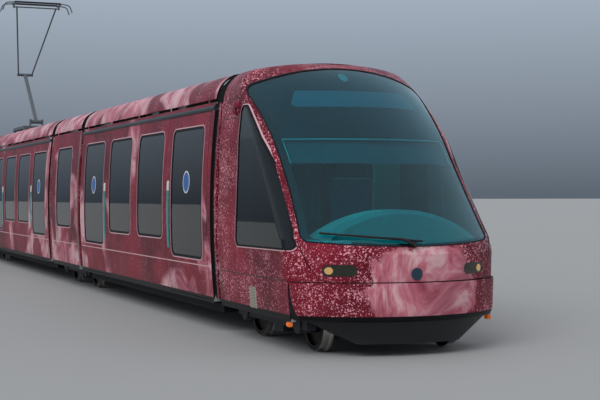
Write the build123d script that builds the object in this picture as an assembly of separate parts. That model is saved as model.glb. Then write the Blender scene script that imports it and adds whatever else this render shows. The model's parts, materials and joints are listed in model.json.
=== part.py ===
from build123d import *
from math import asin, atan2, cos, radians, sin, sqrt
import os

# A low-floor articulated tram of seven modules: cab, long, short, long, short, long, cab.
# The cabs and the short modules stand on bogies, and the long modules hang between them.
# Millimetres. X runs forward, Y to the left and Z up. The origin is at mid-length on the
# centre line, at the flange tips. Heights below are above the rail head, and save()
# lifts every piece by FLANGE_DEPTH.

# Overall sizes
LONG_PITCH = 7390        # pivot to pivot of a long module
SHORT_PITCH = 2560       # pivot to pivot of a short module
CAB_LENGTH = 2905        # pivot to the bumper's foremost point
BODY_WIDTH = 2400        # at the widest height
ROOF_HEIGHT = 3100
FLOOR_HEIGHT = 350
WHEEL_DIAMETER = 550
BACK_TO_BACK = 1360      # between the inner faces of a wheel pair
FLANGE_DEPTH = 22

# Body section
WIDEST_Z = 1400
SIDE_RADIUS = 10500      # the bowed side, seen from the end
WALL = 60
SKIRT_Z = 320
EAVES_Z = 2690           # top of the wall and roof deck
CEILING_Z = 2600
COWL_Z = 2728            # foot of the roof cowl, above the dark gap
COWL_WALL = 25
SHOULDER_DROP = 80       # roof crown down to the cowl's shoulder
SHOULDER_SETBACK = 315   # body side in to the cowl's shoulder
SHOULDER_BULGE = 55
JOINT_GAP = 140          # pivot to the end of each module
END_FRAME = 60           # thickness of the bulkhead at each module's end
GANGWAY_WIDTH = 1560
GANGWAY_TOP = 2250
UNDERFRAME_Z = 200
UNDERFRAME_HALF = 1000
SEAM = 8                 # between a door or panel and the body round it
PANEL_GAP = 0.3          # between the bolted assemblies of a long module

# Openings in the side of a long module, from its middle
SILL_Z = 1025
HEAD_Z = 2430
WINDOW_LENGTH = 1300
WINDOW_X = 850
WINDOW_RADIUS = 110
DOOR_X = 2535
DOOR_LENGTH = 1790
DOOR_THICK = 45
DOOR_CORNER = 8
DOOR_GLASS_X = 2570
DOOR_GLASS_LENGTH = 1340
DOOR_GLASS_Z = 815
SHORT_WINDOW_LENGTH = 1240
GLASS = 12
GLASS_SET = 4            # how far a pane lies behind the body's skin
RAIL_RADIUS = 32         # the door rail along the eaves
RAIL_Z = 2622
RAIL_PROUD = 20
RAIL_CLEARANCE = 0.3

# Articulation
TURNTABLE_RADIUS = 620
TURNTABLE_PLATE = 14
TURN_CLEARANCE = 12
PIVOT_RADIUS = 60
PIVOT_CLEARANCE = 0.4
PIVOT_FOOT_Z = 205
EYE_RADIUS = 150
EYE_Z = (225, 290)
BELLOWS_INSET = 28
BELLOWS_DEPTH = 120

# Cab
NOSE_RADIUS = 1550       # the windscreen and bumper, seen from above
CORNER_RADIUS = 250
NOSE_X = 2856            # foremost point of the panel above the bumper
RAKE_FOOT = (2800, 1150)  # lower edge of the windscreen on the centre line
RAKE_HEAD = (1880, 2215)  # where the flat rake turns into the roof's curve
CROWN_X = 650            # where that curve becomes level
CROWN_NOSE_RADIUS = 1150  # the cab seen from above, at the roof's crown
BUMPER_TOP_Z = 730
BUMPER_FOOT_Z = 335
BUMPER_REAR_X = 2330
BUMPER_REAR = ((2326, 744), (2346, 592), (2382, 479), (2462, 293))  # its rear edge, from the side
WEDGE_TOP_Z = 640        # of the rubber wedge behind the bumper
WEDGE_THICK = 30
KNUCKLE_RISE = 150       # height of the curve between bonnet and windscreen
CURVE_SHARES = (0, 0.27, 0.51, 0.71, 0.86, 0.95, 0.99)
RAKE_DROP = 0.65         # how far an inner form lies lower, for each unit of inset
SCREEN_FOOT = (1060, 1135, 1086)  # half width and height at the corner, height in the middle
SCREEN_WAIST = (1017, 1900)
SCREEN_HEAD = (1082, 2800, 3020)
SCREEN_CORNERS = (60, 130)  # radii at the foot and at the head
SCREEN_REAR_X = 700      # behind the windscreen's upper edge
NOSE_SIDE = ((1070, 1142), (1040, 960), (872, BUMPER_TOP_Z))  # the panel's bowed edge
NOSE_THICK = 30
CAB_WINDOW = {            # the side window's corners, with a curved front edge
    "rear_foot": (790, 1050),
    "front_foot": (2372, 1060),
    "front_middle": (1846, 1742),
    "front_head": (960, 2570),
    "rear_head": (830, 2570),
}
CAB_WINDOW_RADIUS = 60
CAB_WINDOW_TIP = 25      # the radius at the sharp front corner
BULKHEAD_HALF = 1000
BUMPER_TUCK = ((BUMPER_FOOT_Z, 45), (352, 20), (385, 5), (425, 0))  # height and inset of its foot
STAY_Y = 450
CHIN = ((2785, 560, 110), (2815, 1000, 335))  # foremost point, half width and height
BULKHEAD_FOOT_Z = 240
DESK_X = 2090
DESK_Z = 1130
DESK_FRONT_X = 2600
HOOD_X = (2130, 2490)    # the instrument hood on the desk
HOOD_Z = (1150, 1440)    # its height at the ends and in the middle
HOOD_HALF = 900
LAMP = (752, 845, 312, 116)  # place across, height, length and height of a headlamp
LAMP_RADIUS = 54
LAMP_DEPTH = 24
LENS_SET = 2
LENS_THICK = 6
LOUVRE_X = (1175, 1355)
LOUVRE_Z = (390, 590)
LOUVRE_SLOTS = 6

# Bogie and wheel
WHEEL_WIDTH = 110
JOURNAL_RADIUS = 45
JOURNAL_CLEARANCE = 0.3
HUB_RADIUS = 95
RIM_DEPTH = 46
WEB_SETBACK = 40
WHEEL_GAP = 12           # wheel faces to the beam and the axlebox
AXLE_BEAM = 120
AXLE_DROP_Z = (105, 185)
FRAME_Y = (862, 962)     # the side beam, outside the wheels
FRAME_Z = (225, 330)
FRAME_LENGTH = 2100
SPRING_RADIUS = 105
WHEEL_BOX_Y = 610
WHEEL_BOX_WALL = 20
WHEEL_TOP_GAP = 48       # flange to the box over the wheels
SHORT_WHEEL_GAP = 23     # flange to the box's end wall in a short module
CAB_WHEEL_GAP = 8        # and in a cab, at its rear
CAB_STEP_GAP = 38        # from the rear wheels to the step of the raised floor
BULKHEAD_GAP = 33        # from the front wheels to the bulkhead

# Seats
SEAT_HEIGHT = 430        # above the floor that the seat stands on
SEAT_DEPTH = 440
SEAT_WIDTH = 800         # for two people
SEAT_BACK = 420
SEAT_THICK = 70
SEAT_PLACES = ((-520, 1), (520, -1), (-1550, -1), (1550, 1))  # cushion's front edge, facing
POLE_PLACES = ((-1900, -450), (-1900, 450), (1900, -450), (1900, 450))
POLE_RADIUS = 18

# Pantograph
PANTO_FOOT = (-4200, 3400)
PANTO_KNEE = (-5780, 4690)
PANTO_HEAD = (-4170, 6210)
PANTO_BASE_X = (-5500, -3990)
PANTO_BASE_HALF = 350
PANTO_BASE_Z = 3215
HEAD_HALF = 850
HEAD_HORN_DROP = 210

CAB_PIVOT = LONG_PITCH * 1.5 + SHORT_PITCH
LONG_END = LONG_PITCH / 2 - JOINT_GAP
SHORT_END = SHORT_PITCH / 2 - JOINT_GAP
WHEEL_R = WHEEL_DIAMETER / 2
HUB_Z = WHEEL_R
FLANGE_R = WHEEL_R + FLANGE_DEPTH
WHEEL_BACK_Y = BACK_TO_BACK / 2
WHEEL_BOX_TOP = WHEEL_DIAMETER + FLANGE_DEPTH + WHEEL_TOP_GAP + WHEEL_BOX_WALL
WHEELBASE = SHORT_PITCH - 2 * (JOINT_GAP + WHEEL_BOX_WALL + SHORT_WHEEL_GAP + FLANGE_R)
CAB_WHEELS_X = JOINT_GAP + WHEEL_BOX_WALL + CAB_WHEEL_GAP + FLANGE_R  # the cab's rear axle
CAB_BOGIE_X = CAB_WHEELS_X + WHEELBASE / 2
CAB_STEP_X = CAB_WHEELS_X + FLANGE_R + CAB_STEP_GAP  # where the raised floor begins
CAB_FLOOR_Z = WHEEL_BOX_TOP + WHEEL_BOX_WALL
BULKHEAD_X = CAB_WHEELS_X + WHEELBASE + FLANGE_R + BULKHEAD_GAP


def save(name, *pieces):
    solids = [solid for piece in pieces for solid in piece.solids()]
    export_step(Pos(0, 0, FLANGE_DEPTH) * Compound(children=solids), f"parts/{name}.step")


def box(x, y, z):
    """A block between two limits on each axis."""
    return Pos(sum(x) / 2, sum(y) / 2, sum(z) / 2) * Box(x[1] - x[0], y[1] - y[0], z[1] - z[0])


def both_sides(piece):
    return [piece, mirror(piece, about=Plane.XZ)]


def half_width(z, inset=0):
    """Half the body's width at a height, or a concentric surface inside it."""
    radius = SIDE_RADIUS - inset
    return BODY_WIDTH / 2 - SIDE_RADIUS + sqrt(radius**2 - (z - WIDEST_Z) ** 2)


def section(z, inset=0):
    """The bowed section between two heights, in the plane of Y and Z."""
    low, high = z
    side = [(half_width(height, inset), height) for height in (low, (low + high) / 2, high)]
    other = [(-y, height) for y, height in reversed(side)]
    edges = [
        ThreePointArc(*side),
        Line(side[2], other[0]),
        ThreePointArc(*other),
        Line(other[2], side[0]),
    ]
    return make_face(edges)


def roof_section(foot_z, inset=0):
    """The cowl's outline: a shoulder arc each side and a shallow crown."""
    foot = (half_width(foot_z, inset), foot_z)
    shoulder = (
        BODY_WIDTH / 2 - SHOULDER_SETBACK - inset * 0.3,
        ROOF_HEIGHT - SHOULDER_DROP - inset,
    )
    run, rise = shoulder[0] - foot[0], shoulder[1] - foot[1]
    length = sqrt(run**2 + rise**2)
    bulge = (
        (foot[0] + shoulder[0]) / 2 + SHOULDER_BULGE * rise / length,
        (foot[1] + shoulder[1]) / 2 - SHOULDER_BULGE * run / length,
    )
    crown = (0, ROOF_HEIGHT - inset)
    other = [(-y, z) for y, z in (shoulder, bulge, foot)]
    edges = [
        ThreePointArc(foot, bulge, shoulder),
        ThreePointArc(shoulder, crown, other[0]),
        ThreePointArc(*other),
        Line(other[2], foot),
    ]
    return make_face(edges)


def along(face, x):
    """A section carried along the body between two places."""
    return extrude(Plane.YZ.offset(x[0]) * face, amount=x[1] - x[0])


def band(x, z, inset=0):
    return along(section(z, inset), x)


def through(face):
    """A side outline, in X and Z, carried through the whole width."""
    return extrude(Plane.XZ * face, amount=BODY_WIDTH, both=True)


def side_opening(x, z, radius):
    """A rounded outline between two places and two heights."""
    face = RectangleRounded(x[1] - x[0], z[1] - z[0], radius)
    return through(Pos((x[0] + x[1]) / 2, (z[0] + z[1]) / 2) * face)


def skin(x, z, outer, inner):
    """A layer of the body between two depths under its surface."""
    return band(x, z, outer) - band(x, (z[0] - 1, z[1] + 1), inner)


def pane(x, z):
    """The glass of a side opening, both sides, its edges against the opening's."""
    layer = skin((x[0] - 5, x[1] + 5), (z[0] - 5, z[1] + 5), GLASS_SET, GLASS_SET + GLASS)
    return layer & side_opening(x, z, WINDOW_RADIUS)


def span(middle, length, shrink=0):
    return (middle - length / 2 + shrink, middle + length / 2 - shrink)


def end_frame(x, z=(FLOOR_HEIGHT - 1, CEILING_Z + 1), inset=WALL - 1):
    """The bulkhead that closes a module's end round the gangway."""
    opening = Pos(0, (FLOOR_HEIGHT + GANGWAY_TOP) / 2) * RectangleRounded(
        GANGWAY_WIDTH, GANGWAY_TOP - FLOOR_HEIGHT, 150
    )
    sill = box(x, (-GANGWAY_WIDTH / 2, GANGWAY_WIDTH / 2), (FLOOR_HEIGHT, FLOOR_HEIGHT + 200))
    frame = band(x, z, inset)
    return frame - along(opening, (x[0] - 1, x[1] + 1)) - sill


def body_tube(x):
    """Walls, floor and roof deck of one module, open at both ends."""
    tube = band(x, (SKIRT_Z, EAVES_Z)) - band(x, (FLOOR_HEIGHT, CEILING_Z), WALL)
    return tube + end_frame((x[0], x[0] + END_FRAME)) + end_frame((x[1] - END_FRAME, x[1]))


def turntable(pivot_x):
    """The gangway's round floor plate with its pin, seen from above a disc on the pivot."""
    plate_z = FLOOR_HEIGHT - TURNTABLE_PLATE
    plate = Pos(pivot_x, 0, plate_z) * Cylinder(
        TURNTABLE_RADIUS, TURNTABLE_PLATE, align=(Align.CENTER, Align.CENTER, Align.MIN)
    )
    pin = Pos(pivot_x, 0, PIVOT_FOOT_Z) * Cylinder(
        PIVOT_RADIUS, plate_z - PIVOT_FOOT_Z, align=(Align.CENTER, Align.CENTER, Align.MIN)
    )
    return plate + pin


def turntable_seat(pivot_x):
    """The recess for the plate in a long module's floor, and the way down for the pin."""
    base = (Align.CENTER, Align.CENTER, Align.MIN)
    recess_z = FLOOR_HEIGHT - TURNTABLE_PLATE - PANEL_GAP
    recess = Pos(pivot_x, 0, recess_z) * Cylinder(TURNTABLE_RADIUS + PANEL_GAP, 50, align=base)
    way = Pos(pivot_x, 0, UNDERFRAME_Z - 1) * Cylinder(TURNTABLE_RADIUS - 100, 200, align=base)
    return recess + way


def turntable_room(pivot_x):
    """What the plate needs cut out of the next module's floor."""
    return Pos(pivot_x, 0, FLOOR_HEIGHT - TURNTABLE_PLATE - TURN_CLEARANCE) * Cylinder(
        TURNTABLE_RADIUS + TURN_CLEARANCE,
        TURNTABLE_PLATE + TURN_CLEARANCE + 20,
        align=(Align.CENTER, Align.CENTER, Align.MIN),
    )


def drawbar(pivot_x, inner_x):
    """The eye that a bogie module reaches out under the turntable."""
    eye_z, height = EYE_Z[0], EYE_Z[1] - EYE_Z[0]
    base = (Align.CENTER, Align.CENTER, Align.MIN)
    eye = Pos(pivot_x, 0, eye_z) * Cylinder(EYE_RADIUS, height, align=base)
    arm = box(sorted((pivot_x, inner_x)), (-EYE_RADIUS, EYE_RADIUS), EYE_Z)
    post = box(
        sorted((inner_x, inner_x + (120 if inner_x > pivot_x else -120))),
        (-EYE_RADIUS, EYE_RADIUS),
        (EYE_Z[0], SKIRT_Z + 5),
    )
    bore = Pos(pivot_x, 0, eye_z - 1) * Cylinder(
        PIVOT_RADIUS + PIVOT_CLEARANCE, height + 2, align=base
    )
    return eye + arm + post - bore


def wheel_box(shell, x, front_wall=WHEEL_BOX_WALL):
    """Opens the floor over a pair of wheels each side and boxes it in."""
    top = WHEEL_BOX_TOP
    outer = box(x, (WHEEL_BOX_Y - WHEEL_BOX_WALL, BODY_WIDTH), (SKIRT_Z, top))
    room = box(
        (x[0] + WHEEL_BOX_WALL, x[1] - front_wall),
        (WHEEL_BOX_Y, BODY_WIDTH),
        (SKIRT_Z - 1, top - WHEEL_BOX_WALL),
    )
    room = room & band(x, (SKIRT_Z - 1, top), WALL)
    outer = outer & band(x, (SKIRT_Z, top), 1)
    for half, gap in zip(both_sides(outer), both_sides(room)):
        shell = shell + half - gap
    return shell


def long_module():
    """Nodes of a long module, with its middle at x = 0. Its shell is bolted up of underframe,
    side walls, door pillars, end portals and roof deck, and the turntables lie in the floor."""
    ends = (-LONG_END, LONG_END)
    wall_z = (FLOOR_HEIGHT + PANEL_GAP, CEILING_Z - PANEL_GAP)
    underframe = band(ends, (SKIRT_Z, FLOOR_HEIGHT)) + box(
        (ends[0] + 60, ends[1] - 60), (-UNDERFRAME_HALF, UNDERFRAME_HALF), (UNDERFRAME_Z, SKIRT_Z)
    )
    walls = skin(ends, wall_z, 0, WALL)
    portals = [
        end_frame((x, x + END_FRAME), wall_z, WALL + PANEL_GAP)
        for x in (ends[0], ends[1] - END_FRAME)
    ]
    deck = band(ends, (CEILING_Z, EAVES_Z))
    turntables, doors, windows = [], [], []
    for side in (-1, 1):
        pivot = side * LONG_PITCH / 2
        underframe -= turntable_seat(pivot)
        turntables.append(turntable(pivot))
        door_x = span(side * DOOR_X, DOOR_LENGTH)
        door_top = RAIL_Z - RAIL_RADIUS - RAIL_CLEARANCE
        walls -= box(door_x, (-BODY_WIDTH, BODY_WIDTH), (FLOOR_HEIGHT, CEILING_Z))
        glass_x = span(side * DOOR_GLASS_X, DOOR_GLASS_LENGTH)
        glass_z = (DOOR_GLASS_Z, HEAD_Z)
        leaf = skin(door_x, (FLOOR_HEIGHT, door_top + 5), 0, DOOR_THICK)
        leaf &= side_opening(
            span(side * DOOR_X, DOOR_LENGTH, SEAM), (FLOOR_HEIGHT + SEAM, door_top), DOOR_CORNER
        )
        leaf -= side_opening(glass_x, glass_z, WINDOW_RADIUS)
        doors.append(leaf)
        windows.append(pane(glass_x, glass_z))
        window_x = span(side * WINDOW_X, WINDOW_LENGTH)
        walls -= side_opening(window_x, (SILL_Z, HEAD_Z), WINDOW_RADIUS)
        windows.append(pane(window_x, (SILL_Z, HEAD_Z)))
    for groove in rails((ends[0] - 1, ends[1] + 1), RAIL_RADIUS + RAIL_CLEARANCE):
        walls -= groove
        deck -= groove
    shell = [underframe, walls, *portals, deck, *turntables]
    return {"shell": shell, "doors": doors, "windows": windows}


def rails(x, radius=RAIL_RADIUS):
    """The door rail under the cowl, one each side."""
    y = half_width(RAIL_Z) + RAIL_PROUD - RAIL_RADIUS
    return both_sides(along(Pos(y, RAIL_Z) * Circle(radius), x))


def cowl(x, feet_at):
    """The curved roof edge of each side, with brackets that carry it over the eaves."""
    hood = along(roof_section(COWL_Z), x) - along(
        roof_section(COWL_Z - 1, COWL_WALL), (x[0] - 1, x[1] + 1)
    )
    for place in feet_at:
        outer = half_width(COWL_Z) - 2
        foot = box((place - 25, place + 25), (outer - 90, outer), (EAVES_Z, COWL_Z + 32))
        for half in both_sides(foot):
            hood += half
    inner = BODY_WIDTH / 2 - SHOULDER_SETBACK - 130
    return (hood - box((x[0] - 1, x[1] + 1), (-inner, inner), (COWL_Z - 2, ROOF_HEIGHT + 1))).solids()


def equipment(x, height):
    """A roof-mounted unit with rounded edges, standing on the deck."""
    unit = box(x, (-700, 700), (EAVES_Z, EAVES_Z + height))
    return fillet(unit.edges().filter_by(Axis.Z), 60)


def long_roof():
    ends = (-LONG_END, LONG_END)
    feet_at = [step * 1640 for step in (-2, -1, 0, 1, 2)]
    units = [equipment((-3100, -900), 290), equipment((-500, 500), 250), equipment((900, 3100), 290)]
    return rails(ends) + cowl(ends, feet_at) + units


def seat_profile(x, facing, low, depth, back, thick):
    """A seat's side outline: cushion and a slightly raked back, in X and Z."""
    rake = 60
    points = [
        (0, 0),
        (0, thick),
        (-depth + thick, thick),
        (-depth + thick - rake, back),
        (-depth - rake, back),
        (-depth, 0),
    ]
    face = make_face(Polyline(*[(x + facing * step, low + rise) for step, rise in points], close=True))
    return fillet(face.vertices(), thick * 0.35)


def bench(x, facing, y):
    """A seat for two with its pedestal, facing along X."""
    across = sorted((y, y + (SEAT_WIDTH if y > 0 else -SEAT_WIDTH)))
    low, pan = FLOOR_HEIGHT, FLOOR_HEIGHT + SEAT_HEIGHT - SEAT_THICK
    face = seat_profile(x, facing, pan, SEAT_DEPTH, SEAT_THICK + SEAT_BACK, SEAT_THICK)
    seat = extrude(Plane.XZ.offset(-across[1]) * face, amount=SEAT_WIDTH)
    foot = box(
        sorted((x - facing * 120, x - facing * 360)),
        (sum(across) / 2 - 200, sum(across) / 2 + 200),
        (low, pan + 5),
    )
    return seat + foot


def pole(x, y, top=CEILING_Z):
    low = FLOOR_HEIGHT
    return Pos(x, y, low) * Cylinder(
        POLE_RADIUS, top - low, align=(Align.CENTER, Align.CENTER, Align.MIN)
    )


def long_interior():
    inner = half_width(FLOOR_HEIGHT + SEAT_HEIGHT, WALL) - SEAT_WIDTH - 25
    seats = [bench(x, facing, y) for y in (-inner, inner) for x, facing in SEAT_PLACES]
    return seats + [pole(x, y) for x, y in POLE_PLACES]


def short_module():
    ends = (-SHORT_END, SHORT_END)
    pivot = SHORT_PITCH / 2
    shell = wheel_box(body_tube(ends), (ends[0], ends[1]))
    for side in (-1, 1):
        shell -= turntable_room(side * pivot)
        shell += drawbar(side * pivot, side * (SHORT_END - 300))
    window_x = span(0, SHORT_WINDOW_LENGTH)
    shell -= side_opening(window_x, (SILL_Z, HEAD_Z), WINDOW_RADIUS)
    return {"shell": [shell], "windows": [pane(window_x, (SILL_Z, HEAD_Z))]}


def short_roof():
    ends = (-SHORT_END, SHORT_END)
    return cowl(ends, (-820, 820)) + [equipment((-800, 800), 270)]


def crown_share(z):
    """How far a height lies up the curve from the rake to the roof, from 0 to 1."""
    return min(1, max(0, (z - RAKE_HEAD[1]) / (ROOF_HEIGHT - RAKE_HEAD[1])))


def nose_x(z):
    """The cab's foremost point at a height, above the bumper."""
    run, rise = RAKE_FOOT[0] - RAKE_HEAD[0], RAKE_HEAD[1] - RAKE_FOOT[1]
    slope = atan2(rise, run)
    if z >= RAKE_HEAD[1]:
        left = sqrt(1 - crown_share(z))
        corner = RAKE_HEAD[0] - (ROOF_HEIGHT - RAKE_HEAD[1]) * run / rise
        level = corner * 2 * left * (1 - left) + CROWN_X * (1 - left) ** 2
        return RAKE_HEAD[0] * left**2 + level
    if z >= RAKE_FOOT[1]:
        return RAKE_FOOT[0] - (z - RAKE_FOOT[1]) * run / rise
    knuckle = (NOSE_X - RAKE_FOOT[0]) / (1 - sin(slope))
    drop = min(RAKE_FOOT[1] - z, knuckle * cos(slope))
    return RAKE_FOOT[0] - knuckle * sin(slope) + sqrt(knuckle**2 - (knuckle * cos(slope) - drop) ** 2)


def plan(z, nose, inset=0, rear=-2600):
    """The cab's outline seen from above: straight sides, corner arcs and a bowed front."""
    width = half_width(z, inset)
    bow = NOSE_RADIUS + (CROWN_NOSE_RADIUS - NOSE_RADIUS) * crown_share(z)
    front, corner = bow - inset, CORNER_RADIUS - inset
    centre = nose - bow
    turn = asin((width - corner) / (front - corner))
    corner_x = centre + (front - corner) * cos(turn)
    half = radians(90) + turn

    def on(x, y, radius, angle):
        return (x + radius * cos(angle), y + radius * sin(angle))

    corner_y = width - corner
    side, edge = (corner_x, width), on(corner_x, corner_y, corner, turn)
    middle = on(corner_x, corner_y, corner, half / 2)
    tip = (centre + front, 0)
    edges = [
        Line((rear, -width), (side[0], -width)),
        ThreePointArc((side[0], -width), (middle[0], -middle[1]), (edge[0], -edge[1])),
        ThreePointArc((edge[0], -edge[1]), tip, edge),
        ThreePointArc(edge, middle, side),
        Line(side, (rear, width)),
        Line((rear, width), (rear, -width)),
    ]
    return Pos(0, 0, z) * make_face(edges)


def nose_block(inset=0, foot_z=BUMPER_TOP_Z):
    """The cab's outer form, or one a wall's thickness inside it."""
    knee = RAKE_FOOT[1] - KNUCKLE_RISE
    drop = inset * RAKE_DROP
    curve = [RAKE_HEAD[1] + (ROOF_HEIGHT - RAKE_HEAD[1]) * share for share in CURVE_SHARES]
    levels = [(knee, RAKE_FOOT[1]), (RAKE_FOOT[1], RAKE_HEAD[1]), curve]
    block = loft([plan(z, nose_x(knee), inset) for z in (foot_z, knee - drop)], ruled=True)
    for heights in levels:
        faces = [plan(z - drop, nose_x(z), inset) for z in heights]
        block += loft(faces, ruled=len(faces) == 2)
    block += extrude(plan(curve[-1] - drop, nose_x(curve[-1]), inset), amount=40)
    crown = along(roof_section(EAVES_Z, inset), (JOINT_GAP, CAB_LENGTH))
    crown += band((JOINT_GAP, CAB_LENGTH), (foot_z, EAVES_Z), inset - 30)
    return block & crown


def screen_outline(grow=0):
    """The windscreen seen from the front: four bowed edges with rounded corners."""
    half, foot, foot_middle = SCREEN_FOOT[0] + grow, SCREEN_FOOT[1] - grow, SCREEN_FOOT[2] - grow
    head_half, head, head_middle = [size + grow for size in SCREEN_HEAD]
    waist, waist_z = SCREEN_WAIST[0] + grow, SCREEN_WAIST[1]
    edges = [
        ThreePointArc((-half, foot), (0, foot_middle), (half, foot)),
        ThreePointArc((half, foot), (waist, waist_z), (head_half, head)),
        ThreePointArc((head_half, head), (0, head_middle), (-head_half, head)),
        ThreePointArc((-head_half, head), (-waist, waist_z), (-half, foot)),
    ]
    face = make_face(edges)
    for corners, radius in zip((0, -1), SCREEN_CORNERS):
        face = fillet(face.vertices().group_by(Axis.Y)[corners], radius + grow)
    return along(face, (SCREEN_REAR_X, CAB_LENGTH + 10))


def nose_outline(grow=0):
    """The panel between windscreen and bumper, seen from the front."""
    head, middle, foot = [(y + grow, z) for y, z in NOSE_SIDE]
    other = [(-y, z) for y, z in (foot, middle, head)]
    base = (foot[0], foot[1] - 60)
    edges = [
        Line((-base[0], base[1]), base),
        Line(base, foot),
        ThreePointArc(foot, middle, head),
        Line(head, other[2]),
        ThreePointArc(*reversed(other)),
        Line(other[0], (-base[0], base[1])),
    ]
    return along(make_face(edges), (RAKE_HEAD[0], CAB_LENGTH + 10))


def lamp_outline():
    y, z, length, height = LAMP
    pill = RectangleRounded(length, height, LAMP_RADIUS)
    left, right = [along(Pos(side * y, z) * pill, (RAKE_HEAD[0], CAB_LENGTH)) for side in (-1, 1)]
    return left + right


def cab_window():
    """The side window's outline, its front edge bowed along the windscreen pillar."""
    at = CAB_WINDOW
    front = ThreePointArc(at["front_foot"], at["front_middle"], at["front_head"])
    rest = Polyline(at["front_head"], at["rear_head"], at["rear_foot"], at["front_foot"])
    face = make_face([front, *rest.edges()])
    face = fillet(face.vertices().sort_by(Axis.X)[:-1], CAB_WINDOW_RADIUS)
    return through(fillet(face.vertices().sort_by(Axis.X)[-1], CAB_WINDOW_TIP))


def louvre():
    """The slots of the air intake in each skirt."""
    pitch = (LOUVRE_Z[1] - LOUVRE_Z[0]) / LOUVRE_SLOTS
    slots = [LOUVRE_Z[0] + pitch * (step + 0.5) for step in range(LOUVRE_SLOTS)]
    return [
        box(LOUVRE_X, sorted((side * BODY_WIDTH, side * BULKHEAD_HALF)), (z - pitch / 4, z + pitch / 4))
        for z in slots
        for side in (-1, 1)
    ]


def cab_shell(outer):
    """Walls, roof, raised floor and bulkheads of the cab."""
    skirt_end = BUMPER_REAR_X - SEAM
    shell = outer + band((JOINT_GAP, skirt_end), (SKIRT_Z, BUMPER_TOP_Z))
    shell -= nose_block(WALL, BUMPER_TOP_Z + 20)
    shell -= band((CAB_STEP_X, skirt_end), (CAB_FLOOR_Z, BUMPER_TOP_Z + 21), WALL)
    shell -= band((0, CAB_STEP_X), (FLOOR_HEIGHT, BUMPER_TOP_Z + 21), WALL)
    shell -= band((CAB_STEP_X + 20, skirt_end + 1), (SKIRT_Z - 1, CAB_FLOOR_Z - 20), WALL)
    half = BULKHEAD_HALF
    shell += box((skirt_end - 5, BULKHEAD_X), (-half, half), (CAB_FLOOR_Z - 20, CAB_FLOOR_Z))
    head_z = CHIN[1][2]
    narrow = chin_half(BULKHEAD_FOOT_Z)
    outline = [
        (-half, BUMPER_TOP_Z + 5),
        (-half, head_z),
        (-narrow, BULKHEAD_FOOT_Z),
        (narrow, BULKHEAD_FOOT_Z),
        (half, head_z),
        (half, BUMPER_TOP_Z + 5),
    ]
    shell += along(make_face(Polyline(*outline, close=True)), (BULKHEAD_X - 20, BULKHEAD_X))
    shell += end_frame((JOINT_GAP, JOINT_GAP + END_FRAME))
    shell = wheel_box(shell, (JOINT_GAP, CAB_STEP_X + 20), -1)
    shell -= turntable_room(0)
    for slot in louvre():
        shell -= slot
    shell += drawbar(0, JOINT_GAP + 300)
    return shell


def chin_half(z):
    """Half the valance's width at a height."""
    (_, low_half, low), (_, high_half, high) = CHIN
    return low_half + (high_half - low_half) * (z - low) / (high - low)


def bumper():
    """The painted bumper with its two stays, and the valance below it."""
    low, high = BUMPER_FOOT_Z, BUMPER_TOP_Z - SEAM
    levels = (*BUMPER_TUCK, (high, 0))
    block = loft([plan(z, CAB_LENGTH, inset) for z, inset in levels], ruled=True)
    room = loft([plan(z, CAB_LENGTH, WALL) for z in (low - 1, high + 1)], ruled=True)
    wedge = wedge_outline() & (block - loft(
        [plan(z, CAB_LENGTH, WEDGE_THICK) for z in (low - 1, high + 1)], ruled=True
    ))
    block = (block - room) & bumper_side(0)
    stays = []
    for y in (-STAY_Y, STAY_Y):
        reach = CAB_LENGTH - NOSE_RADIUS + sqrt((NOSE_RADIUS - WALL / 2) ** 2 - STAY_Y**2)
        stays.append(box((BULKHEAD_X, reach), (y - 60, y + 60), (480, 600)))
    for stay in stays:
        block += stay
    chin = valance(0) - valance(30)
    return [block, chin, wedge]


def bumper_side(back):
    """The bumper seen from the side: all that lies before its rear edge."""
    edge = [(x - back, z) for x, z in BUMPER_REAR]
    front = CAB_LENGTH + 1
    return through(make_face(Polyline(*edge, (front, edge[-1][1]), (front, edge[0][1]), close=True)))


def wedge_outline():
    """The rubber wedge between the skirt and the bumper's rear edge, seen from the side."""
    room = box(
        (BUMPER_REAR_X, BUMPER_REAR[-1][0]),
        (-BODY_WIDTH, BODY_WIDTH),
        (BUMPER_FOOT_Z + SEAM, WEDGE_TOP_Z),
    )
    return room - bumper_side(PANEL_GAP)


def valance(inset):
    """The dark panel under the bumper, narrower at its foot."""
    faces = []
    for nose, half, z in CHIN:
        front, wide = nose - inset, half - inset
        side = front - NOSE_RADIUS + sqrt(NOSE_RADIUS**2 - wide**2)
        arc = ThreePointArc((side, -wide), (front, 0), (side, wide))
        back = BULKHEAD_X
        rest = Polyline((side, wide), (back, wide), (back, -wide), (side, -wide))
        faces.append(Pos(0, 0, z) * make_face([arc, *rest.edges()]))
    return loft(faces, ruled=True)


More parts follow.
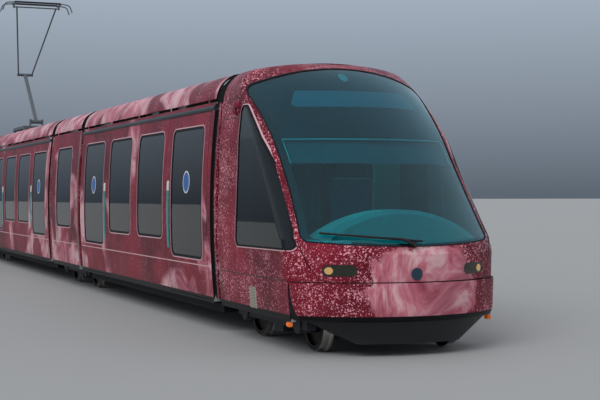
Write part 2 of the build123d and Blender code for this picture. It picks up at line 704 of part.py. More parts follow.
def desk():
    """The driving desk with its console, and the seat behind it."""
    top, front = DESK_Z, DESK_FRONT_X
    points = [
        (DESK_X, CAB_FLOOR_Z),
        (DESK_X, top - 110),
        (DESK_X - 250, top - 60),
        (DESK_X - 230, top),
        (front, top - 40),
        (front, top - 90),
        (DESK_X + 200, top - 170),
        (DESK_X + 200, CAB_FLOOR_Z),
    ]
    face = Plane.XZ * make_face(Polyline(*points, close=True))
    room = extrude(plan(CAB_FLOOR_Z, RAKE_FOOT[0], WALL + 10), amount=top - CAB_FLOOR_Z + 10)
    console = extrude(face, amount=780, both=True) & room
    arch = ThreePointArc((-HOOD_HALF, HOOD_Z[0]), (0, HOOD_Z[1]), (HOOD_HALF, HOOD_Z[0]))
    low = top - 70
    sides = Polyline((HOOD_HALF, HOOD_Z[0]), (HOOD_HALF, low), (-HOOD_HALF, low), (-HOOD_HALF, HOOD_Z[0]))
    hood = along(make_face([arch, *sides.edges()]), HOOD_X) & nose_block(WALL + 1)
    console += hood
    seat_x, low = DESK_X - 400, CAB_FLOOR_Z + 400
    face = seat_profile(seat_x, 1, low, 460, 720, 90)
    post = Pos(seat_x - 230, 0, CAB_FLOOR_Z) * Cylinder(
        70, 405, align=(Align.CENTER, Align.CENTER, Align.MIN)
    )
    seat = extrude(Plane.XZ * face, amount=235, both=True) + post
    return [console, seat]


def cab():
    """Nodes of the front cab, with its pivot at x = 0."""
    outer = nose_block()
    layer = outer - nose_block(NOSE_THICK)
    lamps = lamp_outline()
    pockets = lamps - nose_block(LAMP_DEPTH)
    nose = (layer & nose_outline()) - screen_outline(SEAM) - pockets
    shell = cab_shell(outer) - (layer & nose_outline(SEAM))
    glass = nose_block(GLASS_SET) - nose_block(GLASS_SET + GLASS)
    lens = nose_block(LENS_SET) - nose_block(LENS_SET + LENS_THICK)
    screen = screen_outline()
    side = cab_window()
    shell = shell - screen - side
    panes = [glass & screen, glass & side, lens & lamps]
    return {
        "shell": [shell],
        "nose": [nose],
        "bumper": bumper(),
        "glazing": panes,
        "desk": desk(),
    }


def wheel():
    """A wheel with its flange on the inner side, its inner face at y = 0."""
    bore = JOURNAL_RADIUS + JOURNAL_CLEARANCE
    rim = WHEEL_R - RIM_DEPTH
    points = [
        (bore, 0),
        (FLANGE_R, 0),
        (FLANGE_R, 20),
        (WHEEL_R, 34),
        (WHEEL_R, WHEEL_WIDTH),
        (rim, WHEEL_WIDTH),
        (rim, WHEEL_WIDTH - WEB_SETBACK),
        (HUB_RADIUS, WHEEL_WIDTH - WEB_SETBACK),
        (HUB_RADIUS, WHEEL_WIDTH),
        (bore, WHEEL_WIDTH),
    ]
    return revolve(make_face(Polyline(*points, close=True)), Axis.Y)


def bogie():
    """Side beams, two cranked axle beams with journals, a bolster and springs."""
    low, high = AXLE_DROP_Z
    inner = WHEEL_BACK_Y - WHEEL_GAP
    outline = [
        (-inner, HUB_Z + 70),
        (-inner, HUB_Z - 70),
        (-inner + 40, low),
        (inner - 40, low),
        (inner, HUB_Z - 70),
        (inner, HUB_Z + 70),
        (WHEEL_BOX_Y + 4, SKIRT_Z + 1),
        (WHEEL_BOX_Y - 32, SKIRT_Z - 15),
        (inner - 130, high),
        (-inner + 130, high),
        (-WHEEL_BOX_Y + 32, SKIRT_Z - 15),
        (-WHEEL_BOX_Y - 4, SKIRT_Z + 1),
    ]
    beam = extrude(Plane.YZ * make_face(Polyline(*outline, close=True)), AXLE_BEAM / 2, both=True)
    frame = None
    for x in (-WHEELBASE / 2, WHEELBASE / 2):
        axle = Pos(x, 0, 0) * beam
        for side in (-1, 1):
            journal = Pos(x, side * (inner - 20), HUB_Z) * Rot(X=-90 * side) * Cylinder(
                JOURNAL_RADIUS, FRAME_Y[1] - inner + 20, align=(Align.CENTER, Align.CENTER, Align.MIN)
            )
            box_y = WHEEL_BACK_Y + WHEEL_WIDTH + WHEEL_GAP
            axlebox = Pos(x, side * box_y, HUB_Z) * Rot(X=-90 * side) * Cylinder(
                100, FRAME_Y[1] + 15 - box_y, align=(Align.CENTER, Align.CENTER, Align.MIN)
            )
            axle = axle + journal + axlebox
        frame = axle if frame is None else frame + axle
    for side in (-1, 1):
        y = sorted((side * FRAME_Y[0], side * FRAME_Y[1]))
        frame += box((-FRAME_LENGTH / 2, FRAME_LENGTH / 2), y, FRAME_Z)
        seat = Pos(0, side * sum(FRAME_Y) / 2, FRAME_Z[1]) * Cylinder(
            SPRING_RADIUS,
            WHEEL_BOX_TOP - WHEEL_BOX_WALL - FRAME_Z[1],
            align=(Align.CENTER, Align.CENTER, Align.MIN),
        )
        frame += seat
    frame += box((-140, 140), (-FRAME_Y[0] - 5, FRAME_Y[0] + 5), (120, 235))
    return frame


def rod(start, end, radius):
    """A round bar between two points."""
    start, end = Vector(*start), Vector(*end)
    line = Plane(origin=start, z_dir=end - start)
    return extrude(line * Circle(radius), (end - start).length)


def pantograph():
    """Single-arm current collector, raised: base, lower arm, upper arm and head."""
    foot_x, foot_z = PANTO_FOOT
    knee_x, knee_z = PANTO_KNEE
    head_x, head_z = PANTO_HEAD
    half, z = PANTO_BASE_HALF, PANTO_BASE_Z
    x0, x1 = PANTO_BASE_X
    base = box((x0, x1), (-half, half), (z, z + 70)) - box(
        (x0 + 70, x1 - 70), (-half + 70, half - 70), (z - 1, z + 71)
    )
    base += box((foot_x - 60, foot_x + 60), (-half, half), (z, z + 70))
    insulators = []
    for x in (x0 + 35, x1 - 35):
        for y in (-half + 35, half - 35):
            insulators.append(
                Pos(x, y, EAVES_Z) * Cylinder(45, z - EAVES_Z, align=(Align.CENTER, Align.CENTER, Align.MIN))
            )
    for y in (-150, 150):
        ear = box((foot_x - 45, foot_x + 45), (y - 15, y + 15), (z + 70, foot_z + 60))
        base += ear
    base += rod((foot_x, -165, foot_z), (foot_x, 165, foot_z), 22)
    for leg in insulators:
        base += leg

    lower = rod((foot_x, -130, foot_z), (foot_x, 130, foot_z), 48)
    lower += rod((foot_x, 0, foot_z), (knee_x, 0, knee_z), 45)
    lower -= rod((foot_x, -140, foot_z), (foot_x, 140, foot_z), 22.4)
    lower += rod((knee_x, -110, knee_z), (knee_x, 110, knee_z), 38)
    lower -= rod((knee_x, -120, knee_z), (knee_x, 120, knee_z), 20.4)

    knee = rod((knee_x, -200, knee_z), (knee_x, 200, knee_z), 20)
    upper = knee
    for side in (-1, 1):
        start, end = (knee_x, side * 170, knee_z), (head_x, side * 480, head_z)
        upper += rod((knee_x, side * 125, knee_z), (knee_x, side * 200, knee_z), 36)
        upper += rod(start, end, 18)
    upper += rod((head_x, -520, head_z), (head_x, 520, head_z), 16)

    head = None
    for side in (-1, 1):
        eye = rod((head_x, side * 535, head_z), (head_x, side * 570, head_z), 30)
        eye -= rod((head_x, side * 530, head_z), (head_x, side * 575, head_z), 16.4)
        post = box((head_x - 20, head_x + 20), sorted((side * 535, side * 570)), (head_z + 20, head_z + 80))
        carrier = box((head_x - 200, head_x + 200), sorted((side * 535, side * 570)), (head_z + 60, head_z + 84))
        piece = eye + post + carrier
        head = piece if head is None else head + piece
    for x in (head_x - 180, head_x + 180):
        head += box((x - 22, x + 22), (-560, 560), (head_z + 80, head_z + 120))
        for side in (-1, 1):
            path = FilletPolyline(
                (x, side * 550, head_z + 100),
                (x, side * (HEAD_HALF - 60), head_z + 70),
                (x, side * HEAD_HALF, head_z + 100 - HEAD_HORN_DROP),
                radius=120,
            )
            head += sweep(Plane(path @ 0, z_dir=path % 0) * Circle(14), path)
    upper += rod((head_x, -571, head_z), (head_x, 571, head_z), 16)
    return {"base": base, "lower_arm": lower, "upper_arm": upper, "head": head}


def bellows(side):
    """The corrugated gangway, here its closed outer form, next to a long module's end."""
    pivot = side * LONG_PITCH / 2
    x = sorted((pivot - side * JOINT_GAP, pivot + side * (JOINT_GAP - 0.5)))
    z = (FLOOR_HEIGHT + 30, EAVES_Z - 40)
    room_x, room_z = (x[0] - 1, x[1] + 1), (z[0] - 1, GANGWAY_TOP + 80)
    return band(x, z, BELLOWS_INSET) - band(room_x, room_z, BELLOWS_INSET + BELLOWS_DEPTH)


MODULES = {
    "long_1": (SHORT_PITCH + LONG_PITCH, 0),
    "long_2": (0, 0),
    "long_3": (-SHORT_PITCH - LONG_PITCH, 180),
    "short_1": ((SHORT_PITCH + LONG_PITCH) / 2, 0),
    "short_2": (-(SHORT_PITCH + LONG_PITCH) / 2, 180),
    "cab_a": (CAB_PIVOT, 0),
    "cab_b": (-CAB_PIVOT, 0),
}
BOGIES = {
    "cab_a": CAB_PIVOT + CAB_BOGIE_X,
    "short_1": MODULES["short_1"][0],
    "short_2": MODULES["short_2"][0],
    "cab_b": -CAB_PIVOT - CAB_BOGIE_X,
}


def place(module, pieces):
    x, turn = MODULES[module]
    return [Pos(x, 0, 0) * Rot(Z=turn) * piece for piece in pieces]


if __name__ == "__main__":
    os.makedirs("parts", exist_ok=True)
    cab_nodes = cab()
    long = long_module()
    long["roof"] = long_roof()
    long["interior"] = long_interior()
    long["bellows"] = [bellows(-1), bellows(1)]
    for module in ("long_1", "long_2", "long_3"):
        for node, pieces in long.items():
            save(f"{module}_{node}", *place(module, pieces))
    short = short_module()
    short["roof"] = short_roof()
    for module in ("short_1", "short_2"):
        for node, pieces in short.items():
            if (module, node) == ("short_2", "roof"):
                pieces = pieces[:-1]
            save(f"{module}_{node}", *place(module, pieces))
    for node, pieces in cab_nodes.items():
        mirrored = [mirror(piece, about=Plane.YZ) for piece in pieces]
        save(f"cab_a_{node}", *place("cab_a", pieces))
        save(f"cab_b_{node}", *place("cab_b", mirrored))
    truck, tyre = bogie(), wheel()
    for name, x in BOGIES.items():
        save(f"bogie_{name}", Pos(x, 0, 0) * truck)
        for end, step in (("front", WHEELBASE / 2), ("rear", -WHEELBASE / 2)):
            for side, turn in (("left", 0), ("right", 180)):
                hub = Pos(x + step, 0, HUB_Z) * Rot(Z=turn) * Pos(0, WHEEL_BACK_Y, 0)
                save(f"wheel_{name}_{end}_{side}", hub * tyre)
    for node, piece in pantograph().items():
        save(f"pantograph_{node}", piece)
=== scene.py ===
import json
from math import asin, atan, cos, pi, radians, sin, sqrt, tan

import bmesh
import bpy
from bpy.props import FloatProperty, FloatVectorProperty, IntProperty
from mathutils import Matrix, Vector

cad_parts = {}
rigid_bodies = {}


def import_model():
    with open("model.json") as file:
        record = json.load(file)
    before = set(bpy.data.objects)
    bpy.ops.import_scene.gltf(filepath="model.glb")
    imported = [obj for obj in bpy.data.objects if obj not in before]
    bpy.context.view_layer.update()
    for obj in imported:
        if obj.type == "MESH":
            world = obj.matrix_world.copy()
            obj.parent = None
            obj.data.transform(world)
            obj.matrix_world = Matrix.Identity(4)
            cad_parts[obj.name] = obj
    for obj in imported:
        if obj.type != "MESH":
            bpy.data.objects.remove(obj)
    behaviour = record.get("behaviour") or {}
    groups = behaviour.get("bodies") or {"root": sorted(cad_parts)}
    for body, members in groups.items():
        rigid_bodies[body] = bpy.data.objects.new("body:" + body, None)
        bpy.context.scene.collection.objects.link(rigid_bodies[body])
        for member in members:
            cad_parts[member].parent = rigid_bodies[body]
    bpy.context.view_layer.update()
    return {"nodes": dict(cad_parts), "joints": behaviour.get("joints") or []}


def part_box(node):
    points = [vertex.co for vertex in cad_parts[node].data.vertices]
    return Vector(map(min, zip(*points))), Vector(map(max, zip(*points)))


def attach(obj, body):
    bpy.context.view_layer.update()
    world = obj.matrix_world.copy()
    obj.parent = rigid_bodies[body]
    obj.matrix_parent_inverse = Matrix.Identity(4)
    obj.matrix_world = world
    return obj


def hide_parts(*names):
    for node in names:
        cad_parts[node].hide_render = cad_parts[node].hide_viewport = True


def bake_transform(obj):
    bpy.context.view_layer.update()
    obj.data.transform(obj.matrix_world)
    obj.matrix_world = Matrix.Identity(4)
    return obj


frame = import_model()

bl_info = {
    "name": "Articulated tram",
    "version": (1, 0, 0),
    "blender": (4, 5, 0),
    "location": "View3D > Sidebar > Tram",
    "description": "Paint, glass, rubber and fittings of a low-floor tram round its CAD frame",
    "category": "Object",
}

# Metres. X runs forward, Y to the left and Z up, with the flange tips at z = 0. Heights of the
# body are given above the rail head, and up() lifts them.

RAIL_TOP = 0.022

# The body's section, as in the CAD
BODY_HALF = 1.2
WIDEST = 1.4
SIDE_RADIUS = 10.5
EAVES = 2.69
FLOOR = 0.35
COWL = 2.728
JOINT_GAP = 0.14

# Openings of a long module, from its middle
SILL, HEAD = 1.025, 2.43
CORNER = 0.11
WINDOWS = ((-0.85, 1.30), (0.85, 1.30))
DOOR_GLASS = ((-2.57, 1.34), (2.57, 1.34))
DOOR_GLASS_FOOT = 0.815
SHORT_WINDOW = (0, 1.24)

# Fittings of the sides: the waist lines' foot and half lengths, the door handles' place along, the
# heights of their bar and cap, how proud they stand and the width of their bevelled edges, and the
# door discs' middle, radii and depths
WAIST, LONG_WAIST, SHORT_WAIST = 0.742, 3.5, 1.1
HANDLE_AT, HANDLE_BAR, HANDLE_CAP = 1.78, (0.91, 1.65), (1.652, 1.78)
HANDLE_PROUD, HANDLE_EDGE = 0.012, 0.006
DISC_AT, DISC_RADII, DISC_DEPTHS = (2.57, 1.755), (0.122, 0.14), (0.0022, 0.0039)

# Inside: the poles' place along, the seats' underside over the floor, the ceiling, the handrails'
# place across, height and half length, their stays, the rear of the driver's desk and the lamp on
# the cab's ceiling
POLE_AT, SEAT_FOOT, CEILING = 1.9, 0.355, 2.59
HANDRAIL_AT, HANDRAIL_END, HANDRAIL_STAYS = (0.42, 1.98), 3.3, (-1.1, 0, 1.1)
DESK_REAR = 1.78
CAB_LAMP = ((0.25, 0.62), (-0.4, 0.4), (2.985, 3.042))

# Gangways: how far the folds reach from the pivot, their depth and the steps of each, the hoods'
# walls, the lower hood's place inside the body's side and its corner, the painted ring's place from
# the pivot, width and depth, and the round tread plate
FOLDS_REACH, FOLD_DEPTH, FOLD_STEPS = JOINT_GAP - 0.002, 0.016, 4
HOOD_WALL, ROOF_HOOD_WALL = 0.112, 0.05
HOOD_INSET, HOOD_CORNER = 0.032, 0.16
RING_AT, RING_WIDTH, RING_DEPTH = 0.047, 0.062, 0.028
PLATE_RADIUS, PLATE_THICK, PLATE_PROUD = 0.62, 0.012, 0.0015

# The cab's outer form, as in the CAD, from its pivot
NOSE_AT = 2.856
NOSE_RADIUS, CROWN_RADIUS, CORNER_RADIUS = 1.55, 1.15, 0.25
KNEE = 1.0
LEVELS = (0.730, 1.000, 1.150, 2.215)
RAKE_FOOT, RAKE_HEAD = (2.800, 1.150), (1.880, 2.215)
CROWN_AT, CROWN_TOP = 0.650, 3.100
RAKE_DROP = 0.65         # how far an inner form lies lower, for each unit of inset

# The windscreen seen from the front: its corners, and the middles of its bowed edges
SCREEN_FOOT, SCREEN_HEAD = (1.060, 1.135), (1.082, 2.800)
SCREEN_MIDDLES = ((0, 1.086), (1.017, 1.900), (0, 3.020))
SCREEN_RADII = (0.06, 0.13)
HEADER_FOOT, BLIND_FOOT = 2.19, 1.92

# Behind the windscreen: the depths of what is stuck on it and of the black border, the blank
# display's corners and middle, and the signal lens
STUCK_ON, BORDER = (0.0175, 0.0215), (0.0168, 0.0182)
DISPLAY = ((-0.765, 2.545), (0.765, 2.545), (0.64, 2.735), (-0.64, 2.735))
DISPLAY_AT, DISPLAY_RADIUS = (0, 2.64), 0.04
SIGNAL_AT, SIGNAL_RADIUS = (-0.045, 2.9), 0.05

# The cab's side window seen from the side: its corners, its bowed front edge and corner radii
CAB_WINDOW = ((0.790, 1.050), (2.372, 1.060), (0.960, 2.570), (0.830, 2.570))
CAB_WINDOW_FRONT = (1.846, 1.742)
CAB_WINDOW_RADII = (0.06, 0.025, 0.06, 0.06)

# Headlamps: place across and height of each pocket's middle, its length, height and radius
LAMP_AT, LAMP_LENGTH, LAMP_HEIGHT, LAMP_RADIUS = (0.752, 0.845), 0.312, 0.116, 0.054
POCKET_DEPTH = 0.024
BULB_AT, BULB_RADII = (0.092, -0.002), (0.036, 0.045)

# The cap on the centre line, and the wiper: the blade's raised end, its drop to the other end and
# the spindle
CAP_AT, CAP_RADIUS = (0, 0.808), 0.0625
BLADE_END, BLADE_DROP, SPINDLE_AT = (-0.90, 1.215), 0.0816, (-0.02, 1.10)

# The cab's sides, as places along and heights: seams, the louvre with its frame and slats, the
# marker lamp as a block's limits, and the camera pod
WAIST_SEAM, EAVES_SEAM, EAVES_SEAMS_AT = ((0.19, 2.33), (0.727, 0.736)), (0.145, 0.79), (2.46, 2.675)
SEAM_WIDTH, SEAM_DEPTHS = 0.007, (-0.0008, 0.004)
LOUVRE, LOUVRE_FRAME, LOUVRE_EDGE = ((1.17, 1.36), (0.385, 0.60)), 0.012, 0.005
SLATS, SLAT_PITCH, SLAT_HEIGHT = 14, 0.0165, 0.0105
MARKER = ((2.235, 2.32), (1.115, 1.16), (0.27, 0.3175))
POD_AT = (0.66, 2.575)

# Where finishes change: the heads of the valance and of the door rails, half the roof units' width,
# the lamp lenses' head, and the side glass from a place across
VALANCE_HEAD, DOOR_RAIL_HEAD, ROOF_UNIT_HALF = 0.336, 2.68, 0.72
LENS_HEAD, SIDE_GLASS_FROM = 0.92, 1.07

# Wheels' bright treads, from a radius outwards. The pantograph: the carbon strips' foot and half
# length, and its insulators: how far from the base's ends and from the middle, their height, and
# the number and pitch of their sheds
TREAD_FROM = 0.262
STRIP_FOOT, STRIP_HALF = 6.292, 0.56
INSULATOR_AT, INSULATOR_HEIGHT, SHEDS, SHED_PITCH = (0.035, 0.315), 0.51, 9, 0.05

# The bumper's rear edge, from its head to its foot
BUMPER_REAR = ((2.326, 0.744), (2.346, 0.592), (2.382, 0.479), (2.462, 0.293))

# The picture's camera: its focal length in pixels of a 600 pixel wide picture, and the pixel
# row of the horizon in a 400 pixel high one
PICTURE = (600, 400)
FOCAL_PIXELS = 1300
HORIZON_ROW = 194.5
CAMERA_AT = (28.09, -5.89, 1.60)
CAMERA_TURN = 21.8       # degrees from the track towards the left side


def up(height):
    """A height above the rail, in the frame."""
    return height + RAIL_TOP


def linear(code):
    """An sRGB hex value as linear red, green, blue and alpha."""
    parts = [int(code[i : i + 2], 16) / 255 for i in (1, 3, 5)]
    return [c / 12.92 if c <= 0.04045 else ((c + 0.055) / 1.055) ** 2.4 for c in parts] + [1]


def size_setting(name, description, default, low, high):
    """A size in metres for the panel."""
    return FloatProperty(
        name=name, description=description, default=default, min=low, max=high, unit="LENGTH"
    )


def colour_setting(name, description, code):
    """A colour for the panel, from its sRGB hex value."""
    return FloatVectorProperty(
        name=name, description=description, default=linear(code), min=0, max=1, size=4,
        subtype="COLOR",
    )


class TramSizes(bpy.types.PropertyGroup):
    """Sizes of the fittings that a user would change."""

    flake: size_setting("Flake", "Width of the largest pale flakes in the enamel", 0.019, 0.005, 0.2)
    seal: size_setting("Seal", "Width of the rubber round each window", 0.032, 0.01, 0.08)
    trim: size_setting("Trim", "Width of the pale lines at windows and waist", 0.014, 0.005, 0.05)
    fold: size_setting("Fold", "Distance between two folds of a gangway bellows", 0.031, 0.015, 0.08)
    handle: size_setting("Door handle", "Width of the bar beside each door glass", 0.075, 0.02, 0.12)
    wiper: size_setting("Wiper blade", "Length of the wiper blade", 0.98, 0.3, 1.4)
    sides: IntProperty(
        name="Roundness", description="Corners round a turned piece", default=32, min=8, max=96
    )


class TramColours(bpy.types.PropertyGroup):
    """Colours that a user would change."""

    wine: colour_setting("Wine red", "The body's enamel", "#8A2034")
    wine_deep: colour_setting("Deep wine", "The enamel's darker clouds", "#5C1222")
    flake: colour_setting("Flake", "The pale flakes", "#EDA7B2")
    petal: colour_setting("Petal pink", "The middle tone of the marbled film", "#CC7C8B")
    trim: colour_setting("Trim", "The pale lines", "#D9A5AC")
    glass: colour_setting("Saloon glass", "Tint of the side windows", "#262E31")
    screen: colour_setting("Windscreen", "Tint of the cab's glass", "#2AC6D2")
    handle: colour_setting("Handle", "The door handles", "#0E8C8C")


# Places in the frame

PIVOTS = {
    joint["child"]: joint["pos_m"][0]
    for joint in frame["joints"] if joint["name"].startswith("articulation")
}


def module_matrix(name):
    """Where a module's own origin is and which way it faces: a cab's at its pivot, any other's
    in its middle."""
    turn = Matrix.Rotation(pi if name in ("long_3", "short_2", "cab_b") else 0, 4, "Z")
    if name.startswith("cab"):
        return Matrix.Translation((PIVOTS[name], 0, 0)) @ turn
    low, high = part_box(f"{name}_roof")
    return Matrix.Translation(((low.x + high.x) / 2, 0, 0)) @ turn


LONG = {name: module_matrix(name) for name in ("long_1", "long_2", "long_3")}
SHORT = {name: module_matrix(name) for name in ("short_1", "short_2")}
CABS = {name: module_matrix(name) for name in ("cab_a", "cab_b")}


def side_y(z, inset=0):
    """Half the body's width at a height above the rail."""
    return BODY_HALF - SIDE_RADIUS + sqrt((SIDE_RADIUS - inset) ** 2 - (z - WIDEST) ** 2)


def nose_x(z):
    """The cab's foremost point at a height above the rail."""
    run, rise = RAKE_FOOT[0] - RAKE_HEAD[0], RAKE_HEAD[1] - RAKE_FOOT[1]
    if z >= RAKE_HEAD[1]:
        left = sqrt(1 - crown_share(z))
        corner = RAKE_HEAD[0] - (CROWN_TOP - RAKE_HEAD[1]) * run / rise
        return RAKE_HEAD[0] * left**2 + corner * 2 * left * (1 - left) + CROWN_AT * (1 - left) ** 2
    if z >= RAKE_FOOT[1]:
        return RAKE_FOOT[0] - (z - RAKE_FOOT[1]) * run / rise
    return NOSE_AT + (RAKE_FOOT[0] - NOSE_AT) * max(0, (z - KNEE) / (RAKE_FOOT[1] - KNEE))


def crown_share(z):
    """How far a height lies up the curve from the rake to the roof, from 0 to 1."""
    return min(1, max(0, (z - RAKE_HEAD[1]) / (CROWN_TOP - RAKE_HEAD[1])))


def cab_plan(z, inset):
    """The cab seen from above, at a height: the centre and radius of its bowed front, then the
    place, radius and turn of its corner arc. Between the levels below the crown it is ruled."""
    drop = inset * RAKE_DROP
    for low, high in zip(LEVELS, LEVELS[1:]):
        if low - drop <= z < high - drop:
            share = (z - low + drop) / (high - low)
            ends = zip(level_plan(low - drop, inset), level_plan(high - drop, inset))
            return [a + (b - a) * share for a, b in ends]
    return level_plan(z, inset)


def level_plan(z, inset):
    """The same where the cab is not ruled: on its levels, below them and on the crown."""
    bow = NOSE_RADIUS + (CROWN_RADIUS - NOSE_RADIUS) * crown_share(z)
    radius, corner = bow - inset, CORNER_RADIUS - inset
    centre = nose_x(z + inset * RAKE_DROP) - bow
    corner_y = side_y(z, inset) - corner
    turn = asin(corner_y / (radius - corner))
    return centre, radius, centre + (radius - corner) * cos(turn), corner_y, corner, turn


def cab_front(y, z, inset=0.0):
    """The point of the cab's form, or of one inset inside it, at a place across and a height."""
    centre, radius, corner_x, corner_y, corner, turn = cab_plan(z, inset)
    if abs(y) <= corner_y + corner * sin(turn):
        x = centre + sqrt(radius**2 - y * y)
    else:
        x = corner_x + sqrt(max(0, corner**2 - (abs(y) - corner_y) ** 2))
    return Vector((x, y, up(z)))


def cab_side(x, z, side, inset=0.0):
    """The point of the cab's side at a place along it and a height."""
    _, _, corner_x, corner_y, corner, _ = cab_plan(z, inset)
    ahead = min(corner, max(0, x - corner_x))
    return Vector((x, side * (corner_y + sqrt(corner**2 - ahead**2)), up(z)))


# Outlines: points in a plane, one way round

def circle(x, z, radius, sides=32):
    """A circle as points in a plane."""
    turns = [2 * pi * k / sides for k in range(sides)]
    return [(x + radius * cos(turn), z + radius * sin(turn)) for turn in turns]


def arc_points(start, middle, end, steps=16):
    """Points along the circle through three points."""
    a, b, c = Vector(start), Vector(middle), Vector(end)
    half, rise = (c - a) / 2, b - (a + c) / 2
    across = Vector((-half.y, half.x)).normalized()
    height, offset = rise.dot(across), rise.dot(half.normalized())
    away = (height**2 + offset**2 - half.length_squared) / (2 * height)
    centre = (a + c) / 2 + across * away
    turn = (a - centre).angle_signed(c - centre)
    return [centre + Matrix.Rotation(-turn * k / steps, 2) @ (a - centre) for k in range(steps + 1)]


def rounded(edges, radii, steps=6):
    """An outline of straight or bowed edges with its corners rounded. Each edge is a list of
    points up to the next edge's first point, and its radius is that of its first corner."""
    arcs = []
    for edge, before, radius in zip(edges, edges[-1:] + edges[:-1], radii):
        corner = Vector(edge[0])
        back = (Vector(before[-2]) - corner).normalized()
        ahead = (Vector(edge[1]) - corner).normalized()
        half = back.angle(ahead) / 2
        centre = corner + (back + ahead).normalized() * radius / sin(half)
        start = corner + back * radius / tan(half) - centre
        turn = start.angle_signed(corner + ahead * radius / tan(half) - centre)
        arc = [centre + Matrix.Rotation(-turn * k / steps, 2) @ start for k in range(steps + 1)]
        arcs.append((corner, radius / tan(half), arc))
    points = []
    for edge, (corner, reach, arc), (following, far, _) in zip(edges, arcs, arcs[1:] + arcs[:1]):
        points += arc
        points += [
            Vector(p) for p in edge
            if (Vector(p) - corner).length > reach * 1.05
            and (Vector(p) - following).length > far * 1.05
        ]
    return [tuple(point) for point in points]


def cut_outline(outline, height, above):
    """The part of an outline above or below a height."""
    kept = []
    for (x0, z0), (x1, z1) in zip(outline, outline[1:] + outline[:1]):
        if (z0 >= height) == above:
            kept.append((x0, z0))
        if (z0 >= height) != (z1 >= height):
            kept.append((x0 + (x1 - x0) * (height - z0) / (z1 - z0), height))
    return kept


def screen_outline(inward=0.0):
    """The windscreen's outline in Y and height, or one inside it."""
    half, foot = SCREEN_FOOT[0] - inward, SCREEN_FOOT[1] + inward
    head_half, head = SCREEN_HEAD[0] - inward, SCREEN_HEAD[1] - inward
    foot_middle, waist, head_middle = SCREEN_MIDDLES
    low, high = (0, foot_middle[1] + inward), (0, head_middle[1] - inward)
    right = (waist[0] - inward, waist[1])
    edges = [
        arc_points((-half, foot), low, (half, foot), 40),
        arc_points((half, foot), right, (head_half, head), 40),
        arc_points((head_half, head), high, (-head_half, head), 48),
        arc_points((-head_half, head), (-right[0], right[1]), (-half, foot), 40),
    ]
    foot_radius, head_radius = [radius - min(inward, 0.05) for radius in SCREEN_RADII]
    return rounded(edges, (foot_radius, foot_radius, head_radius, head_radius))


def cab_window_outline():
    """The cab's side window in X and height."""
    rear_foot, front_foot, front_head, rear_head = CAB_WINDOW
    edges = [
        dense_line(rear_foot, front_foot), arc_points(front_foot, CAB_WINDOW_FRONT, front_head, 40),
        dense_line(front_head, rear_head), dense_line(rear_head, rear_foot),
    ]
    return rounded(edges, CAB_WINDOW_RADII)


def dense_line(start, end, steps=24):
    """Points along a straight line."""
    return [tuple(Vector(start).lerp(Vector(end), k / steps)) for k in range(steps + 1)]


def grown(outline, distance):
    """Every point of an outline moved outwards by a distance."""
    area = sum(x0 * z1 - x1 * z0 for (x0, z0), (x1, z1) in zip(outline, outline[1:] + outline[:1]))
    points = []
    for before, here, after in zip(outline[-1:] + outline[:-1], outline, outline[1:] + outline[:1]):
        before, here, after = Vector(before), Vector(here), Vector(after)
        ahead = (after - here).normalized() + (here - before).normalized()
        out = Vector((ahead.y, -ahead.x)).normalized() * (1 if area > 0 else -1)
        points.append(tuple(here + out * distance))
    return points


# Forms: a form is a list of points and a list of faces

def loft_form(loops, closed=False):
    """A skin through loops of equally many points. Closed joins the last loop to the first,
    otherwise both ends are capped."""
    count = len(loops[0])
    if any(len(loop) != count for loop in loops):
        raise RuntimeError("the loops of a form have different numbers of points")
    points = [tuple(point) for loop in loops for point in loop]
    faces = []
    for row in range(len(loops) if closed else len(loops) - 1):
        a, b = row * count, (row + 1) % len(loops) * count
        for i in range(count):
            j = (i + 1) % count
            faces.append((a + i, a + j, b + j, b + i))
    if not closed:
        faces.append(tuple(range(count)))
        faces.append(tuple(range(len(points) - count, len(points))))
    return points, faces


def block_form(x, y, z, bevel=0.0):
    """A block between two limits on each axis, with its edges rounded."""
    cube = bmesh.new()
    bmesh.ops.create_cube(cube, size=1)
    for vertex in cube.verts:
        vertex.co = [
            (limits[0] + limits[1]) / 2 + share * (limits[1] - limits[0])
            for share, limits in zip(vertex.co, (x, y, z))
        ]
    if bevel:
        bmesh.ops.bevel(cube, geom=list(cube.edges), offset=bevel, segments=2, affect="EDGES")
    cube.verts.index_update()
    form = [v.co[:] for v in cube.verts], [[v.index for v in f.verts] for f in cube.faces]
    cube.free()
    return form


def round_loop(centre, across, other, radius, sides):
    """A circle in space, in the plane of two directions."""
    turns = [2 * pi * k / sides for k in range(sides)]
    return [centre + radius * (cos(turn) * across + sin(turn) * other) for turn in turns]


def tube_form(path, radius, sides=10):
    """A round bar along points. A radius for each point makes it taper."""
    path = [Vector(point) for point in path]
    radii = radius if isinstance(radius, (list, tuple)) else [radius] * len(path)
    loops, across = [], None
    for i, point in enumerate(path):
        ahead = (path[min(i + 1, len(path) - 1)] - path[max(i - 1, 0)]).normalized()
        if across is None:
            across = ahead.orthogonal().normalized()
        across = (across - ahead * across.dot(ahead)).normalized()
        loops.append(round_loop(point, across, ahead.cross(across), radii[i], sides))
    return loft_form(loops)


def lathe_form(profile, at, axis, sides=32):
    """A turned piece. The profile is pairs of radius and distance along the axis."""
    axis = Vector(axis).normalized()
    across = axis.orthogonal().normalized()
    other, narrowest = axis.cross(across), 1e-5
    return loft_form([
        round_loop(Vector(at) + axis * along, across, other, max(radius, narrowest), sides)
        for radius, along in profile
    ])


